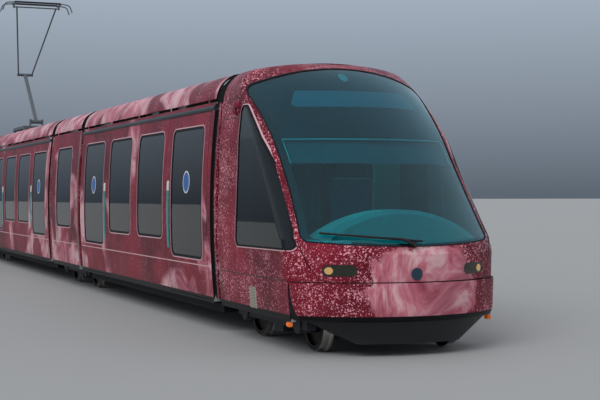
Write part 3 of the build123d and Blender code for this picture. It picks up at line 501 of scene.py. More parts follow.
def rounded_outline(x, z, radius, steps=6):
    """A rectangle with round corners, as points in a plane."""
    corners = (
        (x[1] - radius, z[1] - radius, 0), (x[0] + radius, z[1] - radius, 90),
        (x[0] + radius, z[0] + radius, 180), (x[1] - radius, z[0] + radius, 270),
    )
    points = []
    for cx, cz, start in corners:
        turns = [radians(start + 90 * k / steps) for k in range(steps + 1)]
        points += [(cx + radius * cos(turn), cz + radius * sin(turn)) for turn in turns]
    return points


def dense(outline, longest):
    """The same outline with points added on its long stretches, so that it can follow a curve."""
    points = []
    for (x0, z0), (x1, z1) in zip(outline, outline[1:] + outline[:1]):
        pieces = max(1, int(max(abs(x1 - x0), abs(z1 - z0)) / longest))
        points += [(x0 + (x1 - x0) * k / pieces, z0 + (z1 - z0) * k / pieces) for k in range(pieces)]
    return points


def side_ring_form(x, z, radius, inward, outward, lift, sink, side):
    """A strip round a side opening, between two distances from its outline, proud of the skin
    by lift and reaching sink under it."""
    def loop(grow, rise):
        """The outline moved outwards and lifted off the skin."""
        edge = rounded_outline(
            (x[0] - grow, x[1] + grow), (z[0] - grow, z[1] + grow), max(0.01, radius + grow)
        )
        return [(px, side * (side_y(pz) + rise), up(pz)) for px, pz in dense(edge, 0.25)]

    return loft_form(
        [loop(outward, -sink), loop(outward, lift), loop(-inward, lift), loop(-inward, -sink)], True
    )


def side_strip_form(x, z, lift, sink, side, rows=1):
    """A flat strip on the body's side between two places and two heights."""
    loops = []
    for step in range(rows + 1):
        pz = z[0] + (z[1] - z[0]) * step / rows
        near, far = side * (side_y(pz) + lift), side * (side_y(pz) - sink)
        corners = ((x[0], near), (x[1], near), (x[1], far), (x[0], far))
        loops.append([(px, y, up(pz)) for px, y in corners])
    return loft_form(loops)


def sheet_form(outline, middle, at, depths):
    """A sheet that follows a surface. Its outline is filled towards its middle by smaller copies,
    closer together at the rim, and at gives the surface's point for a place and a depth."""
    shares = (0.0005, 0.08, 0.16, 0.24, 0.32, 0.4, 0.48, 0.56, 0.64, 0.72, 0.8, 0.87, 0.93, 0.97, 1)

    def loop(share, depth):
        """The outline drawn in towards the middle."""
        return [
            at(middle[0] + (a - middle[0]) * share, middle[1] + (b - middle[1]) * share, depth)
            for a, b in outline
        ]

    front = [loop(share, depths[0]) for share in shares]
    return loft_form(front + [loop(share, depths[1]) for share in reversed(shares)])


def ring_form(outer, inner, at, depths):
    """A strip between two outlines of equally many points, following a surface."""
    rows = [(outer, depths[1]), (outer, depths[0]), (inner, depths[0]), (inner, depths[1])]
    return loft_form([[at(a, b, depth) for a, b in outline] for outline, depth in rows], True)


def span(middle, width):
    """Two limits from their middle and the distance between them."""
    return (middle - width / 2, middle + width / 2)


def make_mesh(name, forms, materials):
    """One mesh from forms. A form may come with the number of its material."""
    points, faces, numbers = [], [], []
    for item in forms:
        form, number = item if isinstance(item[1], int) else (item, 0)
        start = len(points)
        points += form[0]
        faces += [[start + i for i in face] for face in form[1]]
        numbers += [number] * len(form[1])
    mesh = bpy.data.meshes.new(name)
    mesh.from_pydata(points, [], faces)
    mesh.polygons.foreach_set("material_index", numbers)
    for material in materials:
        mesh.materials.append(material)
    solid = bmesh.new()
    solid.from_mesh(mesh)
    bmesh.ops.recalc_face_normals(solid, faces=solid.faces)
    for face in solid.faces:
        face.smooth = True
    solid.to_mesh(mesh)
    solid.free()
    mesh.set_sharp_from_angle(angle=radians(35))
    return mesh


def add_piece(name, mesh, body, matrix=Matrix()):
    """Puts a mesh into the scene as a piece that rides on a body."""
    piece = bpy.data.objects.new(name, mesh)
    bpy.context.scene.collection.objects.link(piece)
    piece.matrix_world = matrix
    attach(piece, body)
    return piece


def add_to_modules(modules, name, forms, materials):
    """The same piece on each of several modules."""
    mesh = make_mesh(name, forms, materials)
    for module, matrix in modules.items():
        add_piece(f"{module}_{name}", mesh, module, matrix)


def dress(node, materials, choose=None):
    """Gives a CAD node its materials. choose says which one a face takes, from its middle
    and normal."""
    mesh = frame["nodes"][node].data
    mesh.materials.clear()
    for material in materials:
        mesh.materials.append(material)
    if choose:
        for face in mesh.polygons:
            face.material_index = choose(face.center, face.normal)


# Materials

def add_node(owner, kind, inputs=None, stops=None, **settings):
    """Adds a shader node to a material or world, sets it, links or fills its inputs and gives
    its outputs."""
    made = owner.node_tree.nodes.new(f"ShaderNode{kind}")
    for setting, value in settings.items():
        setattr(made, setting, value)
    for socket, value in (inputs or {}).items():
        if isinstance(value, bpy.types.NodeSocket):
            owner.node_tree.links.new(value, made.inputs[socket])
        else:
            made.inputs[socket].default_value = value
    for index, (place, tint) in enumerate(stops or ()):
        ramp = made.color_ramp.elements
        stop = ramp[index] if index < 2 else ramp.new(place)
        stop.position, stop.color = place, tint
    return made.outputs


def new_material(name, colour, roughness, metallic=0.0, **sockets):
    """A material with its shader's plain values set on the shader itself."""
    material = bpy.data.materials.new(name)
    material.use_nodes = True
    shader = material.node_tree.nodes["Principled BSDF"]
    values = {"Base Color": colour, "Roughness": roughness, "Metallic": metallic}
    values.update({key.replace("_", " "): value for key, value in sockets.items()})
    for key, value in values.items():
        shader.inputs[key].default_value = value
    return material, shader


def grain(material, shader, size_mm, depth_mm, detail=2.0, shade=0.0, rough=0.0):
    """Fine relief of a real size, with a little change of shade and gloss."""
    place = add_node(material, "TexCoord")["Object"]
    noise = add_node(
        material, "TexNoise", {"Vector": place, "Scale": 1000 / size_mm, "Detail": detail}
    )[0]
    bump = add_node(
        material, "Bump", {"Height": noise, "Distance": depth_mm / 1000, "Strength": 0.6}
    )
    material.node_tree.links.new(bump[0], shader.inputs["Normal"])
    if shade:
        broad = add_node(
            material, "TexNoise", {"Vector": place, "Scale": 150 / size_mm, "Detail": 5}
        )[0]
        light = [min(1, c * (1 + shade)) for c in shader.inputs["Base Color"].default_value[:3]] + [1]
        dark = [c * (1 - shade) for c in shader.inputs["Base Color"].default_value[:3]] + [1]
        mixed = add_node(material, "Mix", {0: broad, 6: dark, 7: light}, data_type="RGBA")
        material.node_tree.links.new(mixed[2], shader.inputs["Base Color"])
    if rough:
        level = shader.inputs["Roughness"].default_value
        spread = add_node(
            material, "MapRange", {0: noise, 1: 0.3, 2: 0.7, 3: level - rough, 4: level + rough}
        )
        material.node_tree.links.new(spread[0], shader.inputs["Roughness"])
    return material


def strewn_enamel(material, place, colours, size, flakes):
    """The enamel's colour: pale flakes of two sizes, strewn unevenly over soft clouds."""
    cloud = add_node(material, "TexNoise", {"Vector": place, "Scale": 1 / 0.75, "Detail": 3})[0]
    cloud = add_node(material, "MapRange", {0: cloud, 1: 0.35, 2: 0.65})[0]
    colour = add_node(
        material, "Mix", {0: cloud, 6: colours.wine_deep, 7: colours.wine}, data_type="RGBA"
    )[2]
    density = add_node(material, "TexNoise", {"Vector": place, "Scale": 1 / 0.35, "Detail": 2})[0]
    density = add_node(
        material, "MapRange", {0: density, 1: 0.35, 2: 0.62, 3: flakes * 0.45, 4: flakes}
    )[0]
    for width in (size, size * 0.55):
        cells = add_node(material, "TexVoronoi", {"Vector": place, "Scale": 0.75 / width})
        chance = add_node(material, "SeparateColor", {0: cells[1]})
        reach = add_node(material, "Math", {0: chance[0], 1: density}, operation="MULTIPLY")[0]
        spot = add_node(material, "Math", {0: cells[0], 1: reach}, operation="LESS_THAN")[0]
        tone = add_node(
            material, "Mix", {0: chance[1], 6: colours.petal, 7: colours.flake}, data_type="RGBA"
        )[2]
        colour = add_node(material, "Mix", {0: spot, 6: colour, 7: tone}, data_type="RGBA")[2]
    return colour


def marbled_film(material, place, colours, swirl):
    """The printed film's colour: veined tones, darker between its petals."""
    stone = add_node(
        material, "ValToRGB", {0: swirl},
        stops=[
            (0.30, linear("#7B2A3C")), (0.74, linear("#8E7286")), (0.42, linear("#B25C6C")),
            (0.50, list(colours.petal)), (0.58, linear("#E2B4B8")), (0.66, linear("#D6A6B0")),
        ],
    )[0]
    wander = add_node(material, "TexNoise", {"Vector": place, "Scale": 1.6})[1]
    bent = add_node(material, "VectorMath", {0: place, 1: wander}, operation="ADD")[0]
    petals = add_node(
        material, "TexVoronoi", {"Vector": bent, "Scale": 1 / 0.42}, feature="SMOOTH_F1"
    )[0]
    edge = add_node(material, "MapRange", {0: petals, 1: 0.3, 2: 0.75, 3: 1.0, 4: 0.62})[0]
    return add_node(
        material, "Mix", {0: 1.0, 6: stone, 7: edge}, data_type="RGBA", blend_type="MULTIPLY"
    )[2]


def film_patches(material, place, marble):
    """Where the film lies on sides and cowls: broad patches over a share of the surface."""
    zone = add_node(
        material, "TexNoise", {"Vector": place, "Scale": 1 / 1.9, "Detail": 2, "Distortion": 0.8}
    )[0]
    least = 0.66 - 0.34 * marble
    return add_node(material, "MapRange", {0: zone, 1: least, 2: least + 0.04})[0]


def film_on_front(material, axes, swirl, middle):
    """Where the film lies on the front: a ragged oval round a height near the centre line."""
    across = add_node(
        material, "MapRange", {0: axes[1], 1: -0.64, 2: 0.86, 3: -1, 4: 1}, clamp=False
    )[0]
    height = add_node(material, "Math", {0: axes[2], 1: -up(middle)}, operation="ADD")[0]
    height = add_node(material, "Math", {0: height, 1: 0.54}, operation="DIVIDE")[0]
    away = add_node(material, "CombineXYZ", {0: across, 1: height})[0]
    away = add_node(material, "VectorMath", {0: away}, operation="LENGTH")["Value"]
    ragged = add_node(material, "Math", {0: away, 1: swirl}, operation="ADD")[0]
    return add_node(material, "MapRange", {0: ragged, 1: 1.32, 2: 1.40, 3: 1, 4: 0})[0]


def flaked_livery(name, colours, size, marble, flakes, middle=None):
    """Glossy enamel full of pale flakes, with zones of printed film in a marbled petal pattern.

    The clear lacquer gives sharp reflections over soft colour. marble is the film's share of
    the surface, flakes how densely the enamel is strewn, and middle, where given, the height
    of a marbled zone on the centre line.
    """
    material, shader = new_material(
        name, colours.wine, 0.42, Specular_IOR_Level=0.12, Coat_Weight=0.05, Coat_Roughness=0.1
    )
    place = add_node(material, "TexCoord")["Object"]
    axes = add_node(material, "SeparateXYZ", {0: place})
    swirl = add_node(
        material, "TexNoise",
        {"Vector": place, "Scale": 1 / 0.6, "Detail": 7, "Roughness": 0.62, "Distortion": 1.4},
    )[0]
    colour = strewn_enamel(material, place, colours, size, flakes)
    if marble or middle:
        film = marbled_film(material, place, colours, swirl)
        share = (
            film_on_front(material, axes, swirl, middle) if middle
            else film_patches(material, place, marble)
        )
        colour = add_node(material, "Mix", {0: share, 6: colour, 7: film}, data_type="RGBA")[2]
    # Darker and browner towards the bottom of the body, in ragged patches
    lowness = add_node(material, "MapRange", {0: axes[2], 1: up(0.32), 2: up(0.95), 3: 0.2, 4: 0})[0]
    low_darkening = add_node(material, "Math", {0: lowness, 1: swirl}, operation="MULTIPLY")[0]
    colour = add_node(
        material, "Mix", {0: low_darkening, 6: colour, 7: linear("#4A3B38")}, data_type="RGBA"
    )[2]
    low = add_node(material, "Math", {0: axes[2], 1: up(0.392)}, operation="LESS_THAN")[0]
    colour = add_node(
        material, "Mix", {0: low, 6: colour, 7: linear("#131315")}, data_type="RGBA"
    )[2]
    material.node_tree.links.new(colour, shader.inputs["Base Color"])
    return material


def extruded_rubber(name="extruded_black_rubber", colour="#17171A"):
    """Black rubber, matt, with a soft grey bloom."""
    material, shader = new_material(name, linear(colour), 0.68, Specular_IOR_Level=0.3)
    return grain(material, shader, 9, 0.5, shade=0.3, rough=0.08)


def moulded_plastic(name, colour, roughness=0.5, size_mm=6):
    """Moulded ABS with a fine spark-eroded texture."""
    material, shader = new_material(name, linear(colour), roughness)
    return grain(material, shader, size_mm, 0.4, shade=0.12, rough=0.06)


def laminate(name, colour, roughness=0.4):
    """Painted glass-fibre laminate, slightly wavy under its gel coat, with some dust."""
    material, shader = new_material(name, linear(colour), roughness, Coat_Weight=0.15)
    return grain(material, shader, 60, 0.8, detail=6, shade=0.18, rough=0.05)


def powder_coat(name, colour, roughness=0.42):
    """Powder-coated steel with its orange-peel skin, drawn coarser than the real 1 mm."""
    material, shader = new_material(name, linear(colour), roughness, Specular_IOR_Level=0.3)
    return grain(material, shader, 7, 0.25, shade=0.1, rough=0.05)


def float_glass(name, tint, roughness=0.02):
    """Toughened glass, tinted in the mass, almost flat."""
    material, shader = new_material(
        name, tint, roughness, IOR=1.5, Transmission_Weight=1.0, Specular_IOR_Level=0.1
    )
    return grain(material, shader, 900, 0.6, detail=0)


def metal(name, colour, roughness, size_mm=5, depth_mm=0.2, shade=0.1):
    """Bare metal with its handling marks."""
    material, shader = new_material(name, linear(colour), roughness, 1.0)
    return grain(material, shader, size_mm, depth_mm, shade=shade, rough=min(0.12, roughness / 2))


def woven_moquette(name, colour, other):
    """Seat plush with a woven stripe; threads are drawn 6 mm wide so that they show."""
    material, shader = new_material(name, linear(colour), 0.9, Sheen_Weight=0.4)
    place = add_node(material, "TexCoord")["Object"]
    weave = add_node(
        material, "TexWave", {"Vector": place, "Scale": 0.5 / 0.006 / pi, "Distortion": 1.5},
        bands_direction="Y",
    )[1]
    fleck = add_node(material, "TexNoise", {"Vector": place, "Scale": 1 / 0.03})[0]
    share = add_node(material, "Math", {0: weave, 1: fleck}, operation="MULTIPLY")[0]
    mixed = add_node(
        material, "Mix", {0: share, 6: linear(colour), 7: linear(other)}, data_type="RGBA"
    )
    material.node_tree.links.new(mixed[2], shader.inputs["Base Color"])
    bump = add_node(material, "Bump", {"Height": weave, "Distance": 0.0015, "Strength": 0.5})
    material.node_tree.links.new(bump[0], shader.inputs["Normal"])
    return material


def flecked_floor(name="flecked_rubber_floor"):
    """Smooth rubber flooring, dark grey with light chips of 4 mm."""
    material, shader = new_material(name, linear("#3A3C40"), 0.62)
    place = add_node(material, "TexCoord")["Object"]
    chips = add_node(material, "TexVoronoi", {"Vector": place, "Scale": 1 / 0.012})
    spot = add_node(material, "Math", {0: chips[0], 1: 0.28}, operation="LESS_THAN")[0]
    mixed = add_node(
        material, "Mix", {0: spot, 6: linear("#3A3C40"), 7: linear("#8D9093")}, data_type="RGBA"
    )
    material.node_tree.links.new(mixed[2], shader.inputs["Base Color"])
    return material


def chequer_plate(name="rolled_chequer_aluminium"):
    """Rolled aluminium tread plate: raised bars 30 mm apart, scuffed bright."""
    material, shader = new_material(name, linear("#9B9DA0"), 0.42, 1.0)
    place = add_node(material, "TexCoord")["Object"]
    bars = add_node(
        material, "TexWave", {"Vector": place, "Scale": 0.5 / 0.03 / pi, "Distortion": 0},
        bands_direction="DIAGONAL",
    )[1]
    bump = add_node(material, "Bump", {"Height": bars, "Distance": 0.003, "Strength": 0.6})
    material.node_tree.links.new(bump[0], shader.inputs["Normal"])
    return material


def glow(name, colour, strength):
    """A lit lamp behind its lens."""
    material, shader = new_material(
        name, linear(colour), 0.3, Emission_Color=linear(colour), Emission_Strength=strength
    )
    return grain(material, shader, 12, 0.3)


# Bodies

def under_cab_form(here):
    """How far a point lies inside the cab's outer form."""
    z, y = here.z - RAIL_TOP, abs(here.y)
    centre, radius, corner_x, corner_y, corner, turn = cab_plan(z, 0)
    if here.x <= corner_x:
        return corner_y + corner - y
    if y - corner_y > (here.x - corner_x) * tan(turn):
        return corner - sqrt((here.x - corner_x) ** 2 + (y - corner_y) ** 2)
    lean = (nose_x(z - 0.01) - nose_x(z + 0.01)) / 0.02
    return (radius - sqrt((here.x - centre) ** 2 + y * y)) / sqrt(1 + lean * lean)


# How close to the outer form a face counts as skin, and how far in the rubber of the edges reaches.
# Heights where the sides' edges, the cab's skin and the cab's edges start, and below which a face
# that looks down is underneath and one that looks up is floor
SKIN, EDGE, CAB_EDGE = 0.012, 0.07, 0.075
EDGE_FOOT, CAB_SKIN_FOOT, CAB_EDGE_FOOT = 0.4, 0.7, 0.74
UNDERSIDE, FLOOR_HEAD = 0.66, 0.72


def livery_chooser(matrix, kind):
    """Which material a face of a shell takes: 0 outside, 1 lining, 2 floor, 3 underneath, 4 edges."""
    back = matrix.inverted()

    def choose(middle, normal):
        here = back @ middle
        facing = back.to_3x3() @ normal
        z = here.z - RAIL_TOP
        edge = side_y(min(z, CROWN_TOP)) - abs(here.y)
        if kind == "cab" and here.x > JOINT_GAP + 0.01 and z > CAB_SKIN_FOOT:
            outward = facing.dot(here - Vector((min(here.x, 1.2), 0, up(1.6)))) > 0.03
            if outward and (z > EAVES or under_cab_form(here) < SKIN):
                return 0
        if z < EAVES and edge < SKIN and abs(facing.y) > 0.5 and facing.y * here.y > 0:
            return 0
        if edge < EDGE and z > EDGE_FOOT and abs(facing.y) < 0.5:
            return 4
        if kind == "cab" and under_cab_form(here) < CAB_EDGE and z > CAB_EDGE_FOOT:
            return 4
        if z < FLOOR - 0.01 or (z < UNDERSIDE and facing.z < -0.5):
            return 3
        if facing.z > 0.7 and z < FLOOR_HEAD:
            return 2
        if z > EAVES - 0.02 and facing.z > 0.5:
            return 3
        return 1

    return choose


def bumper_chooser(matrix):
    """Which material a face of a bumper takes: 0 paint, 1 valance, 2 rubber at its rear edge."""
    back = matrix.inverted()

    def choose(middle, normal):
        here, facing = back @ middle, back.to_3x3() @ normal
        z = here.z - RAIL_TOP
        for (x0, z0), (x1, z1) in zip(BUMPER_REAR, BUMPER_REAR[1:]):
            if z1 < z <= z0 and here.x < x0 + (x1 - x0) * (z0 - z) / (z0 - z1) + 0.001:
                return 2
        if z < VALANCE_HEAD:
            return 1
        outward = facing.x > 0.02 or facing.y * here.y > 0.3
        return 0 if outward and abs(facing.z) < 0.98 else 1

    return choose


def choose_for_door(middle, normal):
    """Which material a face of a door takes: 0 outside, 1 lining, 2 edge."""
    if abs(normal.y) < 0.5:
        return 2
    return 0 if normal.y * middle.y > 0 else 1


def choose_for_roof(middle, normal):
    """Which material a face on the roof takes: 0 cowl, 1 door rail, 2 roof unit, 3 underneath."""
    if middle.z < up(DOOR_RAIL_HEAD):
        return 1
    if abs(middle.y) < ROOF_UNIT_HALF:
        return 2
    return 0 if normal.y * middle.y > 0.02 or normal.z > 0.5 else 3


class TRAM_OT_bodies(bpy.types.Operator):
    """Paints the sections, doors, cowls, nose and bumper, and lines them inside"""

    bl_idname = "tram.bodies"
    bl_label = "Bodies and paint"

    def execute(self, context):
        colours, flake = context.scene.tram_colours, context.scene.tram_sizes.flake
        cab_paint = flaked_livery("flaked_enamel_cab", colours, flake, 0.0, 0.54)
        front_paint = flaked_livery("flaked_enamel_front", colours, flake, 0.0, 0.58, 0.66)
        side_paint = flaked_livery("printed_film_sides", colours, flake, 0.42, 0.30)
        cowl_paint = flaked_livery("printed_film_cowls", colours, flake, 0.85, 0.36)
        lining = laminate("moulded_wall_lining", "#8E9496", 0.5)
        floor = flecked_floor()
        under = powder_coat("dark_underframe_coating", "#131416", 0.75)
        edge = extruded_rubber("black_edge_rubber")
        rail = powder_coat("slate_grey_door_rail", "#2C3339", 0.4)
        lid = laminate("grey_roof_laminate", "#8A8C90", 0.55)
        for name, matrix in {**LONG, **SHORT}.items():
            shell = [side_paint, lining, floor, under, edge]
            dress(f"{name}_shell", shell, livery_chooser(matrix, "saloon"))
            dress(f"{name}_roof", [cowl_paint, rail, lid, under], choose_for_roof)
        for name in LONG:
            dress(f"{name}_doors", [side_paint, lining, edge], choose_for_door)
        valance = moulded_plastic("moulded_black_valance", "#0E0E10", 0.45)
        for name, matrix in CABS.items():
            shell = [cab_paint, lining, floor, under, edge]
            dress(f"{name}_shell", shell, livery_chooser(matrix, "cab"))
            dress(f"{name}_nose", [front_paint, under], lambda middle, normal, m=matrix: (
                0 if (m.inverted().to_3x3() @ normal).x > 0.05 else 1
            ))
            dress(f"{name}_bumper", [front_paint, valance, edge], bumper_chooser(matrix))
        return {"FINISHED"}


class TRAM_OT_glass(bpy.types.Operator):
    """Tints the saloon windows and the cab's glass"""

    bl_idname = "tram.glass"
    bl_label = "Glass"

    def execute(self, context):
        colours = context.scene.tram_colours
        saloon = float_glass("tinted_float_glass", colours.glass)
        screen = float_glass("green_laminated_screen", colours.screen)
        for name in {**LONG, **SHORT}:
            dress(f"{name}_windows", [saloon])
        cover = float_glass("clear_lamp_cover", linear("#A9A799"), 0.04)
        side = float_glass("green_toughened_side_glass", linear("#0F4A48"))
        for name, matrix in CABS.items():
            def pane(middle, normal, m=matrix):
                here = m.inverted() @ middle
                if here.z < up(LENS_HEAD) and here.x > 2:
                    return 1
                return 2 if abs(here.y) > SIDE_GLASS_FROM and here.z < up(2.6) else 0
            dress(f"{name}_glazing", [screen, cover, side], pane)
        return {"FINISHED"}


class TRAM_OT_interior(bpy.types.Operator):
    """Covers the seats, desks and driver's seats, and adds ceiling rails and the cab lamps"""

    bl_idname = "tram.interior"
    bl_label = "Interior"

    def execute(self, context):
        plush = woven_moquette("woven_blue_moquette", "#2B3A5A", "#7C8CA8")
        pedestal = powder_coat("grey_seat_frame", "#5A5F66")
        stainless = metal("brushed_stainless_poles", "#C4C6C8", 0.28)
        # The console's pale teal is partly its own colour and partly painted light, raised for the
        # light it gets through the windscreen
        console = moulded_plastic("moulded_grey_green_console", "#7FCFC4", 0.55)
        for name, matrix in LONG.items():
            def seat(middle, normal, m=matrix):
                x = abs((m.inverted() @ middle).x)
                if abs(x - POLE_AT) < 0.03 and abs(middle.y) < 0.5:
                    return 2
                return 1 if middle.z < up(FLOOR + SEAT_FOOT) else 0
            dress(f"{name}_interior", [plush, pedestal, stainless], seat)
        for name, matrix in CABS.items():
            dress(f"{name}_desk", [console, plush], lambda middle, normal, m=matrix: (
                1 if (m.inverted() @ middle).x < DESK_REAR else 0
            ))
        forms = []
        for side in (-1, 1):
            y, z, top = side * HANDRAIL_AT[0], up(HANDRAIL_AT[1]), up(CEILING)
            bend = [(HANDRAIL_END, z + 0.05), (HANDRAIL_END - 0.05, z)]
            path = [(HANDRAIL_END, top)] + bend
            path = [(-x, height) for x, height in path] + path[::-1]
            forms.append(tube_form([(x, y, height) for x, height in path], 0.016))
            forms += [tube_form([(x, y, z), (x, y, top)], 0.012) for x in HANDRAIL_STAYS]
        add_to_modules(LONG, "ceiling_rails", forms, [stainless])
        x, y, z = CAB_LAMP
        panel = block_form(x, y, (up(z[0]), up(z[1])), 0.01)
        lamp = glow("cool_ceiling_lamp", "#E6F4F4", 13)
        add_to_modules(CABS, "ceiling_lamp", [panel], [lamp])
        return {"FINISHED"}


# Gangways

def folded_form(x, fold, wall, outline):
    """A corrugated hood between two places, folded across the track. outline gives its section
    in Y and height at a depth in the rubber."""
    steps = round((x[1] - x[0]) / fold) * FOLD_STEPS
    loops = []
    for step in range(steps + 1):
        place = x[0] + (x[1] - x[0]) * step / steps
        wave = FOLD_DEPTH * (1 - cos(2 * pi * step / FOLD_STEPS)) / 2
        loops.append([(place, y, up(z)) for y, z in outline(wave) + outline(wall - wave)[::-1]])
    return loft_form(loops)


def hood_outline(depth):
    """A gangway's two walls and roof: up one side, over and down the other."""
    foot, shoulder = FLOOR + 0.034, EAVES - 0.045 - depth - HOOD_CORNER
    points = []
    for step in range(9):
        z = foot + (shoulder - foot) * step / 8
        points.append((side_y(z) - HOOD_INSET - depth, z))
    centre = points[-1][0] - HOOD_CORNER
    for step in range(1, 7):
        angle = radians(90 * step / 6)
        points.append((centre + HOOD_CORNER * cos(angle), shoulder + HOOD_CORNER * sin(angle)))
    return points + [(-y, z) for y, z in reversed(points)]


def roof_hood_outline(depth):
    """The hood between two roof cowls, along the cowls' outline."""
    foot = (side_y(COWL) - 0.01 - depth, 2.64)
    shoulder = (BODY_HALF - 0.32 - depth, CROWN_TOP - 0.088 - depth)
    run, rise = shoulder[0] - foot[0], shoulder[1] - foot[1]
    bow = 0.055 / sqrt(run * run + rise * rise)
    bulge = ((foot[0] + shoulder[0]) / 2 + bow * rise, (foot[1] + shoulder[1]) / 2 - bow * run)
    quarter, top = (shoulder[0] / 2, shoulder[1] + 0.062), (0, shoulder[1] + 0.08)
    half = arc_points(foot, bulge, shoulder, 8) + arc_points(shoulder, quarter, top, 6)[1:]
    return [(p[0], p[1]) for p in half] + [(-p[0], p[1]) for p in reversed(half[:-1])]


class TRAM_OT_gangways(bpy.types.Operator):
    """Folds the bellows between the sections and adds the tread plates and painted rings"""

    bl_idname = "tram.gangways"
    bl_label = "Gangways"

    def execute(self, context):
        sizes = context.scene.tram_sizes
        rubber = extruded_rubber("corrugated_black_bellows", "#141416")
        plate = chequer_plate()
        ring_paint = bpy.data.materials["flaked_enamel_cab"]
        for joint in frame["joints"]:
            if not joint["name"].startswith("articulation"):
                continue
            x = joint["pos_m"][0]
            bodies = (joint["parent"], joint["child"])
            near, far = sorted(bodies, key=lambda body: not body.startswith("long"))
            towards = 1 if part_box(f"{far}_shell")[0].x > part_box(f"{near}_shell")[0].x else -1
            ends = (x - FOLDS_REACH, x + FOLDS_REACH)
            name = f"bellows_{near}_{far}"
            folds = [
                folded_form(ends, sizes.fold, HOOD_WALL, hood_outline),
                folded_form(ends, sizes.fold, ROOF_HOOD_WALL, roof_hood_outline),
            ]
            piece = bpy.data.objects.new(name, make_mesh(name, folds, [rubber]))
            context.scene.collection.objects.link(piece)
            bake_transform(piece)
            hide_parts(f"{near}_bellows")
            rim = [(PLATE_RADIUS - 0.008, 0), (PLATE_RADIUS, -0.002), (PLATE_RADIUS, -PLATE_THICK)]
            disc = lathe_form(
                [(0, 0)] + rim + [(0, -PLATE_THICK)], (x, 0, up(FLOOR) + PLATE_PROUD), (0, 0, 1),
                sizes.sides * 2,
            )
            mesh = make_mesh(f"tread_plate_{near}_{far}", [disc], [plate])
            add_piece(f"tread_plate_{near}_{far}", mesh, near)
            width, heights = span(x + towards * RING_AT, RING_WIDTH), (FLOOR + 0.04, EAVES - 0.02)
            ring = [side_strip_form(width, heights, 0.0, RING_DEPTH, side, 8) for side in (-1, 1)]
            mesh = make_mesh(f"gangway_ring_{near}_{far}", ring, [ring_paint])
            piece = bpy.data.objects.new(f"gangway_ring_{near}_{far}", mesh)
            context.scene.collection.objects.link(piece)
            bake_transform(piece)
        return {"FINISHED"}


# Sides

def handle_form(x, z, half, side, slim):
    """A stretch of a door handle between two heights, with bevelled edges, standing on the body's
    skin. slim is the step, from 0 to 6, where it ends slimmer."""
    loops = []
    for step in range(7):
        pz = z[0] + (z[1] - z[0]) * step / 6
        foot, bevel = side_y(pz) - 0.004, 0.004
        face = side_y(pz) + HANDLE_PROUD * (0.6 if step == slim else 1)
        edge = [(half, foot), (half, face - bevel), (half - HANDLE_EDGE, face)]
        outline = [(-px, y) for px, y in edge] + edge[::-1]
        loops.append([(x + px, side * y, up(pz)) for px, y in outline])
    return loft_form(loops)


class TRAM_OT_side_fittings(bpy.types.Operator):
    """Fits window seals, pale lines that are partly trim and partly painted highlight, door handles and
    blank sign discs
    """

    bl_idname = "tram.side_fittings"
    bl_label = "Side fittings"

    def execute(self, context):
        colours, sizes = context.scene.tram_colours, context.scene.tram_sizes
        rubber = extruded_rubber("black_window_seal")
        # Pale trim round the openings and along the waist: its pale colour is partly the trim's own and
        # partly a painted highlight on the frames' edges
        pale, pale_shader = new_material("pale_enamel_trim", colours.trim, 0.3, Coat_Weight=0.4)
        grain(pale, pale_shader, 20, 0.2, shade=0.15)
        openings = [(span(*window), (SILL, HEAD)) for window in WINDOWS]
        openings += [(span(*glass), (DOOR_GLASS_FOOT, HEAD)) for glass in DOOR_GLASS]
        shorts = [(span(*SHORT_WINDOW), (SILL, HEAD))]
        for modules, places in ((LONG, openings), (SHORT, shorts)):
            seals, lines = [], []
            for side in (-1, 1):
                for x, z in places:
                    seals.append(side_ring_form(x, z, CORNER, sizes.seal, 0.0, 0.002, 0.004, side))
                    lines.append(side_ring_form(x, z, CORNER, 0.0, sizes.trim, 0.003, 0.003, side))
            add_to_modules(modules, "window_seals", seals, [rubber])
            add_to_modules(modules, "window_trims", lines, [pale])
        heights = (WAIST, WAIST + sizes.trim)
        for modules, end in ((LONG, LONG_WAIST), (SHORT, SHORT_WAIST)):
            waist = [side_strip_form((-end, end), heights, 0.003, 0.003, side) for side in (-1, 1)]
            add_to_modules(modules, "waist_lines", waist, [pale])

        teal_paint, shader = new_material("teal_powder_coat", colours.handle, 0.35, Coat_Weight=0.3)
        grain(teal_paint, shader, 8, 0.3, shade=0.1)
        white = moulded_plastic("white_moulded_cap", "#D8DAD8", 0.4)
        half, bars = sizes.handle / 2, []
        for side in (-1, 1):
            for x in (-HANDLE_AT, HANDLE_AT):
                bars.append((handle_form(x, HANDLE_BAR, half, side, 0), 0))
                bars.append((handle_form(x, HANDLE_CAP, half, side, 6), 1))
        add_to_modules(LONG, "door_handles", bars, [teal_paint, white])

        blue = moulded_plastic("blue_vinyl_disc", "#1F5FA8", 0.35)
        rim = moulded_plastic("white_vinyl_rim", "#E4E6E8", 0.35)
        discs, height = [], DISC_AT[1]
        for side in (-1, 1):
            def at(x, z, depth, side=side):
                return Vector((x, side * side_y(z, depth), up(z)))
            for x in (-DISC_AT[0], DISC_AT[0]):
                field, border = [circle(x, height, radius, 48) for radius in DISC_RADII]
                discs.append((sheet_form(field, (x, height), at, DISC_DEPTHS), 0))
                discs.append((ring_form(border, field, at, DISC_DEPTHS), 1))
        add_to_modules(LONG, "sign_discs", discs, [blue, rim])
        return {"FINISHED"}


# Cab front

def cab_strip_form(x, z, side, depths, steps=24):
    """A strip along the cab's side between two places and two heights."""
    loops = []
    for step in range(steps + 1):
        place = x[0] + (x[1] - x[0]) * step / steps
        corners = ((z[0], depths[0]), (z[1], depths[0]), (z[1], depths[1]), (z[0], depths[1]))
        loops.append([cab_side(place, height, side, depth) for height, depth in corners])
    return loft_form(loops)


